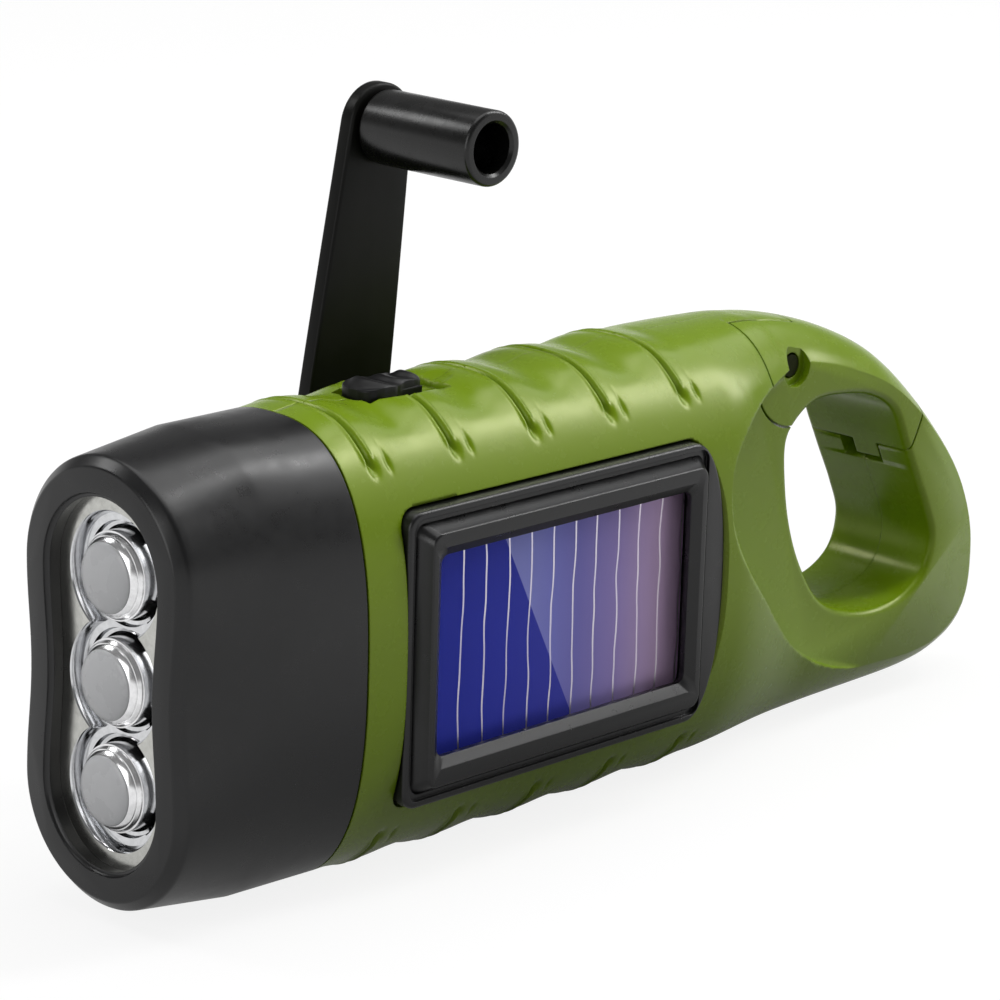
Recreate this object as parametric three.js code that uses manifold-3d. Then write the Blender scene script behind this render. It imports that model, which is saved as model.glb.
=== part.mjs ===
// A hand crank flashlight with a solar panel and a spring-gated hanging loop, in millimetres.
// +X runs from the lamp face to the loop, +Y from the solar side to the crank side, +Z up.
import * as THREE from 'three';
import { mergeVertices } from 'three/addons/utils/BufferGeometryUtils.js';
import Module from 'manifold-3d';

const wasm = await Module();
wasm.setup();

// Driving sizes of the whole light: the loop follows the grip
const loopStart = 85;
const loopLength = 60;
const totalLength = loopStart + loopLength;
const bodyHalfHeight = 26.6;
const bodyHalfWidth = 15.6;
const sectionPowerShare = 2.6;
const wall = 2;
const fit = 0.3;
const running = 0.2;
const overrun = 5;

// Head
const headLength = 24.4;
const faceDrop = 1.7;
const faceHalfHeight = bodyHalfHeight - faceDrop;
const lobeInset = 2.6;
const lobeRadius = bodyHalfWidth - lobeInset;
const waistInset = 0.74;
const waistHalfWidth = lobeRadius - waistInset;
const creaseX = 12.8;
const creaseInset = 0.9;
const creaseHalfWidth = bodyHalfWidth - creaseInset;
const creaseDrop = 0.6;
const creaseHalfHeight = bodyHalfHeight - creaseDrop;
const rimRadius = 1.5;
const rimWidth = 3.95;
const recessDepth = 1.7;
const neckFront = 12.9;

// Lamps
const lampPitchShare = 0.4723;
const lampRadiusShare = 0.4124;
const cupRadiusShare = 0.6207;
const lampPitch = faceHalfHeight * lampPitchShare;
const lampRadius = lampPitch * lampRadiusShare;
const lampTip = 0.1;
const lampDome = 1.1;
const lampLength = 9;
const lampFlangeThickness = 1;
const lampFlangeWidth = 0.5;
const lampCount = 3;
const cupFrontRadius = lampPitch * cupRadiusShare;
const cupWall = 0.9;
const reflectorThickness = 1;
const lampBoardThickness = 1.6;

// Grip ribs round the body
const gripFirst = 28.5;
const gripPitch = 12.45;
const gripCount = 5;
const gripHeight = 0.38;
const gripShiftBelow = 2;
const flatDepth = 0.35;

// Loop and its thinner plate
const loopNarrowing = 4.2;
const loopHalfWidth = bodyHalfWidth - loopNarrowing;
const loopHalfThickness = 8.15;
const noseLengthShare = 0.308;
const noseLength = loopLength * noseLengthShare;
const noseTip = 0.08;

// Solar panel
const solarFront = 30.4;
const solarLength = 52.5;
const solarRear = solarFront + solarLength;
const solarHeightMargin = 9.8;
const solarHalfHeight = bodyHalfHeight - solarHeightMargin;
const solarDrop = 0.4;
const solarBulge = 5.6;
const solarCorner = 2;
const solarFloorDepth = 4.6;
const solarFloor = bodyHalfWidth - solarFloorDepth;
const solarBacking = 1.7;
const solarEdgeRound = 0.4;
const solarRimDepth = 0.4;
const solarRim = bodyHalfWidth - solarRimDepth;
const solarProud = 1;
const solarFace = bodyHalfWidth + solarProud;
const solarEdge = 1.3;
const solarDepth = 1.5;
const windowFrontMargin = 4.3;
const windowRearMargin = 7.5;
const windowHeightMargin = 5.3;
const windowFront = solarFront + windowFrontMargin;
const windowLength = solarLength - windowFrontMargin - windowRearMargin;
const windowHalfHeight = solarHalfHeight - windowHeightMargin;
const windowRise = 0.2;
const windowCorner = 1.6;
const windowBevelWidth = 1.1;
const windowBevelDepth = 1.1;
const coverThickness = 0.8;
const coverMargin = 1.2;

// Gate of the loop
const gatePinLengthShare = 0.2933;
const gatePinHeightShare = 0.7594;
const gatePinX = loopStart + loopLength * gatePinLengthShare;
const gatePinZ = bodyHalfHeight * gatePinHeightShare;
const gatePinRadius = 1.4;
const gateFrontReach = 7.2;
const gateRearShare = 0.45;
const gateRearReach = loopLength * gateRearShare;
const tongueHalfWidth = 3.1;
const tongueReach = 4.4;
const tabHalfWidth = 2.8;
const tabDepth = 2.6;
const tabRise = 1;
const tabTopDegrees = -28;
const tabEndDegrees = -37.5;
const pocketEndDegrees = -46;
const pivotArcDegrees = -70;
const rearArcDegrees = -42;
const swingRoomDegrees = -60;
const springPocketRadius = 3.4;
const springPocketHalf = 1.9;
const springRadius = 2.1;
const springWire = 0.3;
const springTurns = 3;
const gatePinClearance = 0.2;
const sinkRadius = 2.5;
const sinkDepth = 1;

// Crank, in its own frame: its turning axis is at zero and its arm points up
const hubX = 50.2;
const hubZ = -6;
const crankRadius = 57;
const crankLeanDegrees = 8;
const hubRadius = 10;
const hubThickness = 2;
const hubStandOff = 0.5;
const hubChamfer = 0.5;
const padMargin = 1;
const padDepth = 5;
const lugHalfWidth = 3.5;
const spindleRadius = 3.5;
const driveShankRadius = 2.6;
const driveFlat = 1.9;
const hubScrewHead = 3.3;
const hubScrewRadius = 1.2;
const hubScrewHeight = 1.1;
const hubScrewLength = 7;
const armThickness = 2.1;
const armRootWidth = 15.6;
const armMiddleWidth = 12.7;
const armMiddle = 31;
const armTipWidth = 10;
const armSlotEnd = 4.2;
const barrelRadius = 2.5;
const foldPinRadius = 1.2;
const foldPinInset = 0.6;
const knobRadius = 4.35;
const knobBore = 2.9;
const knobLength = 17.4;
const knobSocketDepth = 10.3;
const knobRound = 0.4;
const knobPinRadius = 1.6;
const knobPinHead = 2.5;
const knobPinHeadThickness = 1.4;

// Gear train and dynamo
const gearModule = 0.75;
const driveTeeth = 35;
const pinionTeeth = 9;
const idlerTeeth = 32;
const gearGap = 0.7;
const gearBacklash = 0.25;
const shaftRadius = 1;
const firstMeshDegrees = 60;
const secondMeshDegrees = -18;
const thirdMeshDegrees = -120;
const driveDepth = 6.6;
const driveTop = bodyHalfWidth - driveDepth;
const lastGearY = 0.4;
const gearLayers = 3;
const gearWidth = (driveTop - lastGearY - gearGap * (gearLayers - 1)) / gearLayers;
const driveY = driveTop - gearWidth;
const plateThickness = 1.2;
const plateMargin = 3.6;
const plateScrewRadius = 0.9;
const plateScrewHead = 2;
const plateScrewHeight = 1.2;
const plateScrewLength = 7.5;
const plateBossRadius = 2.2;
const shaftBossRadius = 2.4;
const shaftEnd = 12.4;
const statorRadius = 9;
const statorWall = 0.7;
const coilThickness = 1.1;
const magnetRadius = 6.2;
const magnetRoom = 1;

// Batteries and main board
const cellGearRoom = 0.5;
const cellFar = driveY - cellGearRoom;
const cellRoom = 0.4;
const cellRadius = (cellFar + solarFloor - solarBacking - cellRoom) / 2;
const cellLength = 6;
const cellCount = 3;
const cellX = 37.2;
const cellY = cellFar - cellRadius;
const cradleWall = 1.2;
const cradleDrop = 2.6;
const cradleTop = cellY - cradleDrop;
const mainBoardFront = 46.8;
const mainBoardLength = 21;
const mainBoardBottom = 1;
const mainBoardTopRoom = 8.2;
const mainBoardHeight = bodyHalfHeight - mainBoardTopRoom - mainBoardBottom;
const mainBoardThickness = 1.2;

const rootGroup = new THREE.Group();

// Materials
function finish(colour, roughness, metalness, opacity = 1) {
  return new THREE.MeshStandardMaterial({
    color: colour, roughness, metalness, opacity, transparent: opacity < 1,
  });
}
const greenPlastic = finish(0x7f9a2c, 0.38, 0);
const blackPlastic = finish(0x1b1b1b, 0.42, 0);
const clearPlastic = finish(0xe8eef2, 0.08, 0, 0.35);
const chrome = finish(0xd8d8d8, 0.12, 1);
const lampGlass = finish(0xe9eef0, 0.2, 0, 0.8);
const steel = finish(0x9a9c9e, 0.35, 1);
const boardGreen = finish(0x1d5a34, 0.55, 0);
const whiteNylon = finish(0xe6e3da, 0.5, 0);
const cellBlue = finish(0x2b2f86, 0.2, 0.1);
const copper = finish(0xb56a3a, 0.35, 1);
const magnetGrey = finish(0x4a4b4f, 0.5, 0.6);

// Solids
const roundSides = 24;
const smallSides = 10;
const mergeDistance = 1e-5;

function solid(geometry) {
  const bare = new THREE.BufferGeometry();
  bare.setAttribute('position', geometry.getAttribute('position').clone());
  bare.setIndex(geometry.getIndex());
  const merged = mergeVertices(bare, mergeDistance);
  return new wasm.Manifold(new wasm.Mesh({
    numProp: 3,
    vertProperties: new Float32Array(merged.getAttribute('position').array),
    triVerts: new Uint32Array(merged.getIndex().array),
  }));
}

function surface(body) {
  const mesh = body.getMesh();
  const geometry = new THREE.BufferGeometry();
  geometry.setAttribute('position', new THREE.BufferAttribute(new Float32Array(mesh.vertProperties), 3));
  geometry.setIndex(new THREE.BufferAttribute(new Uint32Array(mesh.triVerts), 1));
  const faceted = geometry.toNonIndexed();
  faceted.computeVertexNormals();
  return faceted;
}

function cut(body, ...tools) {
  return tools.reduce((rest, tool) => rest.subtract(tool), body);
}

function join(body, ...more) {
  return more.reduce((whole, piece) => whole.add(piece), body);
}

function add(name, body, material, group = rootGroup) {
  const mesh = new THREE.Mesh(surface(body), material);
  mesh.name = name;
  group.add(mesh);
  return mesh;
}

// A round bar along one axis. across is its place on the two other axes, in their order.
function rod(axis, radius, from, to, across = [0, 0], sides = roundSides, endRadius = radius) {
  const geometry = new THREE.CylinderGeometry(endRadius, radius, to - from, sides);
  const middle = (from + to) / 2;
  const [first, second] = across;
  if (axis === 'x') {
    geometry.rotateZ(-Math.PI / 2).translate(middle, first, second);
  } else if (axis === 'y') {
    geometry.translate(first, middle, second);
  } else {
    geometry.rotateX(Math.PI / 2).translate(first, second, middle);
  }
  return solid(geometry);
}

function block(x0, x1, y0, y1, z0, z1) {
  const geometry = new THREE.BoxGeometry(x1 - x0, y1 - y0, z1 - z0);
  return solid(geometry.translate((x0 + x1) / 2, (y0 + y1) / 2, (z0 + z1) / 2));
}

// An outline of [x, z] points, drawn out along Y.
function slab(outline, y0, y1) {
  const shape = new THREE.Shape(outline.map(([x, z]) => new THREE.Vector2(x, z)));
  const geometry = new THREE.ExtrudeGeometry(shape, { depth: y1 - y0, bevelEnabled: false });
  return solid(geometry.rotateX(Math.PI / 2).translate(0, y1, 0));
}

// A skin over rings of equal count, each closed by a fan about its middle.
function loft(rings) {
  const count = rings[0].length;
  const points = rings.flat();
  const faces = [];
  for (let ring = 0; ring < rings.length - 1; ring += 1) {
    for (let side = 0; side < count; side += 1) {
      const here = ring * count + side;
      const next = ring * count + (side + 1) % count;
      faces.push(here, next, next + count, here, next + count, here + count);
    }
  }
  const first = points.length;
  const last = first + 1;
  const lastRing = (rings.length - 1) * count;
  for (const ring of [rings[0], rings[rings.length - 1]]) {
    const middle = new THREE.Vector3();
    ring.forEach((point) => middle.add(point));
    points.push(middle.divideScalar(count));
  }
  for (let side = 0; side < count; side += 1) {
    const next = (side + 1) % count;
    faces.push(first, next, side, last, lastRing + side, lastRing + next);
  }
  const geometry = new THREE.BufferGeometry().setFromPoints(points);
  geometry.setIndex(faces);
  const body = solid(geometry);
  if (body.volume() > 0) {
    return body;
  }
  for (let corner = 0; corner < faces.length; corner += 3) {
    [faces[corner], faces[corner + 1]] = [faces[corner + 1], faces[corner]];
  }
  geometry.setIndex(faces);
  return solid(geometry);
}

function flatRing(outline, y) {
  return outline.map(([x, z]) => new THREE.Vector3(x, y, z));
}

function smooth(share) {
  const held = Math.min(1, Math.max(0, share));
  return held * held * (3 - 2 * held);
}

function between(start, end, count) {
  return Array.from({ length: count + 1 }, (_, step) => start + (end - start) * step / count);
}

// An outline of [x, z] points moved outward by a distance. It runs anticlockwise.
function grown(outline, distance) {
  return outline.map((point, index) => {
    const before = outline[(index + outline.length - 1) % outline.length];
    const after = outline[(index + 1) % outline.length];
    const along = new THREE.Vector2(after[0] - before[0], after[1] - before[1]).normalize();
    return [point[0] + along.y * distance, point[1] - along.x * distance];
  });
}

function arc(centreX, centreZ, radius, startDegrees, endDegrees, steps) {
  return between(startDegrees, endDegrees, steps).map((degrees) => {
    const angle = THREE.MathUtils.degToRad(degrees);
    return [centreX + radius * Math.cos(angle), centreZ + radius * Math.sin(angle)];
  });
}

function roundedBox(x0, x1, z0, z1, radius, steps = 4) {
  return [
    ...arc(x1 - radius, z0 + radius, radius, -90, 0, steps),
    ...arc(x1 - radius, z1 - radius, radius, 0, 90, steps),
    ...arc(x0 + radius, z1 - radius, radius, 90, 180, steps),
    ...arc(x0 + radius, z0 + radius, radius, 180, 270, steps),
  ];
}

// Side profile of the body: the top edge to the nose, then the bottom edge back,
// in shares of the length and of the half height
const topShares = [
  [0.168, 0.974], [0.414, 0.98], [0.641, 0.982], [0.697, 0.966], [0.738, 0.928], [0.779, 0.864],
  [0.821, 0.768], [0.85, 0.67], [0.877, 0.545], [0.906, 0.39], [0.937, 0.21], [0.956, 0.07],
  [0.975, -0.095], [0.991, -0.265], [1, -0.47],
];
const bottomShares = [
  [1, -0.47], [0.9945, -0.613], [0.9766, -0.752], [0.957, -0.838], [0.926, -0.891], [0.899, -0.917],
  [0.855, -0.936], [0.766, -0.952], [0.662, -0.972], [0.42, -0.99], [0.168, -0.978],
];
const profileSteps = 240;

function profile(shares) {
  const points = shares.map(([x, z]) => new THREE.Vector2(x * totalLength, z * bodyHalfHeight));
  return new THREE.SplineCurve(points).getPoints(profileSteps);
}
const topProfile = profile(topShares);
const bottomProfile = profile(bottomShares).reverse();

function heightAt(points, x) {
  const after = points.findIndex((point) => point.x >= x);
  if (after <= 0) {
    return points[after === 0 ? 0 : points.length - 1].y;
  }
  const [start, end] = [points[after - 1], points[after]];
  return start.y + (end.y - start.y) * (x - start.x) / (end.x - start.x);
}

const noseStart = totalLength - noseLength;
const loopTaperShare = 0.35;

function halfWidthAt(x) {
  const taper = smooth((x - loopStart) / (loopLength * loopTaperShare));
  const width = bodyHalfWidth + (loopHalfWidth - bodyHalfWidth) * taper;
  const nose = Math.max(0, (x - noseStart) / noseLength);
  return width * Math.sqrt(Math.max(0, 1 - nose * nose));
}

// Grip ribs swell the top and the bottom of the section
const gripLowShare = 0.7;
const gripHighShare = 0.95;
const gripLength = gripPitch * (gripCount - 1);

function gripSwell(x, heightShare) {
  const start = gripFirst + (heightShare < 0 ? gripShiftBelow : 0);
  const edge = gripPitch / 2;
  const inside = smooth((x - start + edge) / edge) * smooth((start + gripLength + edge - x) / edge);
  const wave = Math.cos(2 * Math.PI * (x - start) / gripPitch);
  const reach = smooth((Math.abs(heightShare) - gripLowShare) / (gripHighShare - gripLowShare));
  return gripHeight * wave * inside * reach;
}

const ringCount = 30;

function superPoint(turn, side, half) {
  const [c, s] = [Math.cos(turn), Math.sin(turn)];
  const power = 2 / sectionPowerShare;
  return [
    side * Math.sign(c) * Math.abs(c) ** power,
    half * Math.sign(s) * Math.abs(s) ** power,
  ];
}

function turns() {
  return Array.from({ length: ringCount }, (_, index) => 2 * Math.PI * (index + 0.5) / ringCount);
}

function sectionRing(x, inset = 0, side = halfWidthAt(x) - inset, isRibbed = inset === 0) {
  const top = heightAt(topProfile, x) - inset;
  const bottom = heightAt(bottomProfile, x) + inset;
  const [middle, half] = [(top + bottom) / 2, (top - bottom) / 2];
  return turns().map((turn) => {
    const [y, z] = superPoint(turn, side, half);
    const swell = isRibbed ? gripSwell(x, z / half) * Math.sign(z) : 0;
    return new THREE.Vector3(x, y, middle + z + swell);
  });
}

// Head: a face of two round lobes with a slight waist, which turns into the body's section
function faceHalfWidthAt(z, inset) {
  const lobeHeight = faceHalfHeight - lobeRadius;
  const height = Math.abs(z);
  if (height < lobeHeight) {
    const rise = (1 - Math.cos(Math.PI * height / lobeHeight)) / 2;
    return waistHalfWidth + (lobeRadius - waistHalfWidth) * rise - inset;
  }
  const radius = lobeRadius - inset;
  const up = height - lobeHeight;
  return up < radius ? Math.sqrt(radius * radius - up * up) : 0;
}

const bisections = 30;

function facePoint(y, z, inset) {
  let [inner, outer] = [0, 2 * faceHalfHeight / Math.hypot(y, z)];
  for (let step = 0; step < bisections; step += 1) {
    const middle = (inner + outer) / 2;
    const isInside = Math.abs(y * middle) < faceHalfWidthAt(z * middle, inset);
    [inner, outer] = isInside ? [middle, outer] : [inner, middle];
  }
  return [y * inner, z * inner];
}

function headRing(x, inset) {
  const toCrease = Math.min(1, Math.max(0, (x - rimRadius) / (creaseX - rimRadius)));
  const toSeam = Math.min(1, Math.max(0, (x - creaseX) / (headLength - creaseX)));
  const seam = sectionRing(headLength, inset, halfWidthAt(headLength) - inset, false);
  return turns().map((turn, index) => {
    const [creaseY, creaseZ] = superPoint(turn, creaseHalfWidth - inset, creaseHalfHeight - inset);
    const [faceY, faceZ] = facePoint(creaseY, creaseZ, inset);
    const y = faceY + (creaseY - faceY) * toCrease;
    const z = faceZ + (creaseZ - faceZ) * toCrease;
    return new THREE.Vector3(x, y + (seam[index].y - y) * toSeam, z + (seam[index].z - z) * toSeam);
  });
}

const windowBevel = 0.5;
const creaseSteps = 4;
const rimSteps = 4;

function headOuter() {
  const rim = between(0, Math.PI / 2, rimSteps).map((angle) => (
    headRing(rimRadius * (1 - Math.cos(angle)), rimRadius * (1 - Math.sin(angle)))
  ));
  rim[0] = headRing(0, rimRadius);
  const rings = between(rimRadius, creaseX, creaseSteps).slice(1).map((x) => headRing(x, 0));
  return loft([...rim, ...rings, headRing(headLength - fit, 0)]);
}

function headWindow() {
  return loft([
    headRing(-overrun, rimWidth - windowBevel),
    headRing(0, rimWidth - windowBevel),
    headRing(windowBevel, rimWidth),
    headRing(recessDepth + overrun, rimWidth),
  ]);
}

function headCavity() {
  const stations = [...between(recessDepth, creaseX, creaseSteps), headLength, headLength + overrun];
  return loft(stations.map((x) => headRing(x, wall)));
}
add('head_bezel', cut(headOuter(), headWindow(), headCavity()), blackPlastic);

// Lamps, their reflector and their board
const reflectorX = recessDepth + fit;
const lampBase = lampTip + lampLength;
const cupBackRadius = lampRadius + running;
const reflectorBack = lampBase - fit;
const lampSpread = lampPitch * (lampCount - 1) / 2;
const lampHeights = between(-lampSpread, lampSpread, lampCount - 1);

function cup(extra, from, to) {
  return lampHeights.map((z) => rod('x', cupFrontRadius + extra, from, to, [0, z], roundSides,
    cupBackRadius + extra));
}

function reflector() {
  const flange = loft([
    headRing(reflectorX, wall + fit),
    headRing(reflectorX + reflectorThickness, wall + fit),
  ]);
  const outside = cup(cupWall, reflectorX + reflectorThickness / 2, reflectorBack);
  return cut(join(flange, ...outside), ...cup(0, reflectorX - fit, reflectorBack + fit));
}
add('reflector', reflector(), chrome);

const lampSides = 18;

// A profile of [distance along the axis, radius] points, turned about an axis along X or Y.
function turned(axis, points, across, sides = roundSides) {
  const profilePoints = points.map(([along, radius]) => new THREE.Vector2(radius, along));
  const geometry = new THREE.LatheGeometry(profilePoints, sides);
  const [first, second] = across;
  if (axis === 'x') {
    geometry.rotateZ(-Math.PI / 2).translate(0, first, second);
  } else {
    geometry.translate(first, 0, second);
  }
  return solid(geometry);
}

function lamp(z) {
  const domeSteps = 4;
  const dome = between(0, Math.PI / 2, domeSteps).map((angle) => [
    lampTip + lampDome * (1 - Math.cos(angle)),
    lampRadius * Math.sin(angle),
  ]);
  const back = lampBase + lampFlangeThickness;
  const flange = lampRadius + lampFlangeWidth;
  const outline = [...dome, [lampBase, lampRadius], [lampBase, flange], [back, flange], [back, 0]];
  return turned('x', outline, [0, z], lampSides);
}
lampHeights.forEach((z, index) => add(`led_${index + 1}`, lamp(z), lampGlass));

const boardX = lampBase + lampFlangeThickness + fit;
const lampBoard = loft([
  headRing(boardX, wall + fit),
  headRing(boardX + lampBoardThickness, wall + fit),
]);
add('led_board', lampBoard, boardGreen);

// Body of the housing: closed skin, hollow front, and the loop's opening and side recesses
const loopX = (share) => loopStart + share * loopLength;
const loopZ = (share) => share * bodyHalfHeight;

// Opening of the loop, in shares of the loop's length and of the half height
const openingShares = [
  [0.28, 0.425], [0.305, 0.5], [0.36, 0.57], [0.45, 0.572], [0.55, 0.53], [0.62, 0.44], [0.665, 0.26],
  [0.7, 0.11], [0.745, -0.08], [0.772, -0.24], [0.755, -0.39], [0.7, -0.48], [0.61, -0.517],
  [0.5, -0.485], [0.41, -0.39], [0.345, -0.2], [0.305, 0], [0.283, 0.22],
];
const openingSteps = 30;
const openingLip = 0.9;

function openingOutline(extra) {
  const points = openingShares.map(([x, z]) => new THREE.Vector3(loopX(x), loopZ(z), 0));
  const curve = new THREE.CatmullRomCurve3(points, true);
  const outline = curve.getPoints(openingSteps).slice(0, openingSteps).map((p) => [p.x, p.y]).reverse();
  return grown(outline, extra);
}

function opening() {
  const edge = loopHalfThickness;
  const side = [[-edge - overrun, openingLip], [-edge, openingLip], [-edge + openingLip / 2, openingLip / 4],
    [-edge + openingLip, 0]];
  const stations = [...side, ...side.map(([y, extra]) => [-y, extra]).reverse()];
  return loft(stations.map(([y, extra]) => flatRing(openingOutline(extra), y)));
}

// Edge of the side recess on the body's skin, and below it the edge of the plate that it slopes to
const recessEdgeShares = [
  [0.2, 0.9], [0.1, 0.82], [0.025, 0.695], [-0.027, 0.545], [-0.045, 0.395], [-0.03, 0.19], [0.02, -0.02],
  [0.09, -0.225], [0.167, -0.41], [0.247, -0.556], [0.333, -0.684], [0.433, -0.797], [0.55, -0.865],
  [0.7, -0.87],
];
const recessFloorShares = [
  [0.33, 0.79], [0.25, 0.706], [0.18, 0.64], [0.11, 0.5], [0.08, 0.34], [0.095, 0.13], [0.147, -0.094],
  [0.217, -0.323], [0.29, -0.511], [0.367, -0.639], [0.45, -0.726], [0.55, -0.782], [0.65, -0.8],
  [0.75, -0.8],
];
const recessSteps = 4;
const recessEdgeSteps = 16;

function recess(side) {
  const edgeOf = (shares) => {
    const points = shares.map(([x, z]) => new THREE.Vector2(loopX(x), loopZ(z)));
    return new THREE.SplineCurve(points).getPoints(recessEdgeSteps).map((p) => [p.x, p.y]);
  };
  const [edge, floor] = [edgeOf(recessEdgeShares), edgeOf(recessFloorShares)];
  const far = totalLength + 2 * overrun;
  const outline = (share) => [
    ...edge.map(([x, z], index) => [
      x + (floor[index][0] - x) * share,
      z + (floor[index][1] - z) * share,
    ]),
    [far, loopZ(recessFloorShares[recessFloorShares.length - 1][1])],
    [far, bodyHalfHeight + overrun],
    [loopX(recessFloorShares[0][0]), bodyHalfHeight + overrun],
  ];
  const rings = between(0, 1, recessSteps).map((share) => {
    const y = bodyHalfWidth - (bodyHalfWidth - loopHalfThickness) * smooth(share);
    return flatRing(outline(share), side * y);
  });
  return loft([flatRing(outline(0), side * (bodyHalfWidth + overrun)), ...rings]);
}

// Sections of the body: even steps over the grip and the tail, then closer ones round the nose
const gripStepsPerPitch = 4;
const gripEnd = gripFirst + gripLength + gripPitch / 2;
const tailSteps = 9;
const noseSteps = 6;

function bodySkin() {
  const gripSteps = Math.round((gripEnd - headLength) / gripPitch * gripStepsPerPitch);
  const stations = [
    ...between(headLength, gripEnd, gripSteps),
    ...between(gripEnd, noseStart, tailSteps).slice(1),
    ...between(0, Math.PI / 2, noseSteps).slice(1, -1).map((turn) => noseStart + noseLength * Math.sin(turn)),
    totalLength - noseTip,
  ];
  return loft(stations.map((x) => sectionRing(x)));
}

const neckWall = 1.6;
const cavityFullMargin = 8.9;
const cavityTaperMargin = 1.9;
const cavityOverlap = 3;
const cavityFull = solarRear - cavityFullMargin;
const cavityTaper = solarRear - cavityTaperMargin;
const cavityRear = loopStart + cavityOverlap;
const cavityThin = 6.1;

function neck() {
  return loft([headRing(neckFront, wall + fit), headRing(headLength + wall, wall + fit)]);
}

function cavity() {
  const neckInset = wall + fit + neckWall;
  const wide = (x) => sectionRing(x, wall);
  const thin = (x, side) => sectionRing(x, wall, side);
  return loft([
    headRing(neckFront - overrun, neckInset),
    headRing(creaseX, neckInset),
    headRing(headLength, neckInset),
    wide(headLength + wall + neckWall),
    wide((headLength + cavityFull) / 2),
    wide(cavityFull),
    thin(cavityTaper, cavityThin),
    thin(cavityRear, cavityThin),
  ]);
}

const skin = cut(bodySkin(), recess(-1), recess(1), opening());
const middleRib = gripFirst + gripShiftBelow + gripLength / 2;
const restHeight = heightAt(bottomProfile, middleRib) - gripHeight + flatDepth;
const standing = block(-overrun, totalLength + overrun, -bodyHalfWidth, bodyHalfWidth,
  restHeight - bodyHalfHeight, restHeight);

// Gate of the loop, seen from the side: its pivot arc, its arc at the nose, and its locking tab
const pin = [gatePinX, gatePinZ];
const arcSteps = 8;

function gateOutline(extra) {
  const front = gateFrontReach + extra;
  const rear = gateRearReach + extra;
  const high = bodyHalfHeight + overrun;
  return [
    ...arc(...pin, front, pivotArcDegrees, -180, arcSteps),
    [gatePinX - front, high],
    [gatePinX + rear, high],
    ...arc(...pin, rear, 0, rearArcDegrees, arcSteps),
  ].reverse();
}

function sector(inner, outer, startDegrees, endDegrees) {
  return [
    ...arc(...pin, outer, startDegrees, endDegrees, arcSteps),
    ...arc(...pin, inner, endDegrees, startDegrees, arcSteps),
  ].reverse();
}

// The tongue is square above the pin and round below it, so that the gate can swing past
function tongueOutline(extra, back) {
  const reach = tongueReach + extra;
  return [
    [gatePinX - back, gatePinZ - reach],
    ...arc(...pin, reach, -90, 0, arcSteps),
    [gatePinX + reach, bodyHalfHeight + overrun],
    [gatePinX - back, bodyHalfHeight + overrun],
  ];
}

const tabRoot = gateRearReach - tabRise;
const tabTip = gateRearReach + tabDepth;
const pinHole = rod('y', gatePinRadius + gatePinClearance, -bodyHalfWidth, bodyHalfWidth, pin, smallSides);
const gatePinHalfLength = loopHalfThickness - sinkDepth;
const sink = (side) => rod('y', sinkRadius, side < 0 ? -loopHalfThickness - overrun : gatePinHalfLength,
  side < 0 ? -gatePinHalfLength : loopHalfThickness + overrun, pin, smallSides);

function gate() {
  const body = skin.intersect(slab(gateOutline(0), -bodyHalfWidth, bodyHalfWidth));
  const slotHalf = tongueHalfWidth + fit;
  const slot = slab(tongueOutline(fit, gateFrontReach + overrun), -slotHalf, slotHalf);
  const room = slab([
    pin,
    [gatePinX - gateFrontReach - overrun, gatePinZ],
    [gatePinX - gateFrontReach - overrun, gatePinZ - gateFrontReach - overrun],
    ...arc(...pin, gateFrontReach + overrun, pivotArcDegrees, swingRoomDegrees, 2),
  ], -slotHalf, slotHalf);
  const tab = slab(sector(tabRoot, tabTip, tabTopDegrees, tabEndDegrees), -tabHalfWidth, tabHalfWidth);
  return cut(join(body, tab), slot, room, pinHole, sink(-1), sink(1));
}
add('carabiner_gate', gate(), greenPlastic);
add('gate_pin', rod('y', gatePinRadius, -gatePinHalfLength, gatePinHalfLength, pin, smallSides), steel);

// Solar panel: frame, clear cover and cell board, sunk in the near side
const bulgeSteps = 8;
const cornerDegrees = 70;
const cornerSteps = 3;

function solarOutline(extra) {
  const bulgeHeight = solarHalfHeight - solarCorner;
  const rear = solarRear - solarBulge;
  const bulge = between(-1, 1, bulgeSteps).map((share) => [
    rear + solarBulge * Math.sqrt(1 - share * share),
    bulgeHeight * share,
  ]);
  const outline = [
    [solarFront + solarCorner, -solarHalfHeight],
    [rear - solarCorner, -solarHalfHeight],
    ...bulge,
    [rear - solarCorner, solarHalfHeight],
    [solarFront + solarCorner, solarHalfHeight],
    ...arc(solarFront + solarCorner, bulgeHeight, solarCorner, 180 - cornerDegrees, 180, cornerSteps),
    ...arc(solarFront + solarCorner, -bulgeHeight, solarCorner, 180, 180 + cornerDegrees, cornerSteps),
  ];
  return grown(outline, extra).map(([x, z]) => [x, z - solarDrop]);
}

function windowRing(inset, y) {
  const middle = windowRise - solarDrop;
  return flatRing(roundedBox(windowFront + inset, windowFront + windowLength - inset,
    middle - windowHalfHeight + inset, middle + windowHalfHeight - inset, windowCorner), y);
}

const glassFace = solarFace - solarDepth;
const coverFront = glassFace - fit;
const coverBack = coverFront - coverThickness;
const cellFront = coverBack - fit;
const cellBack = solarFloor;

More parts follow.
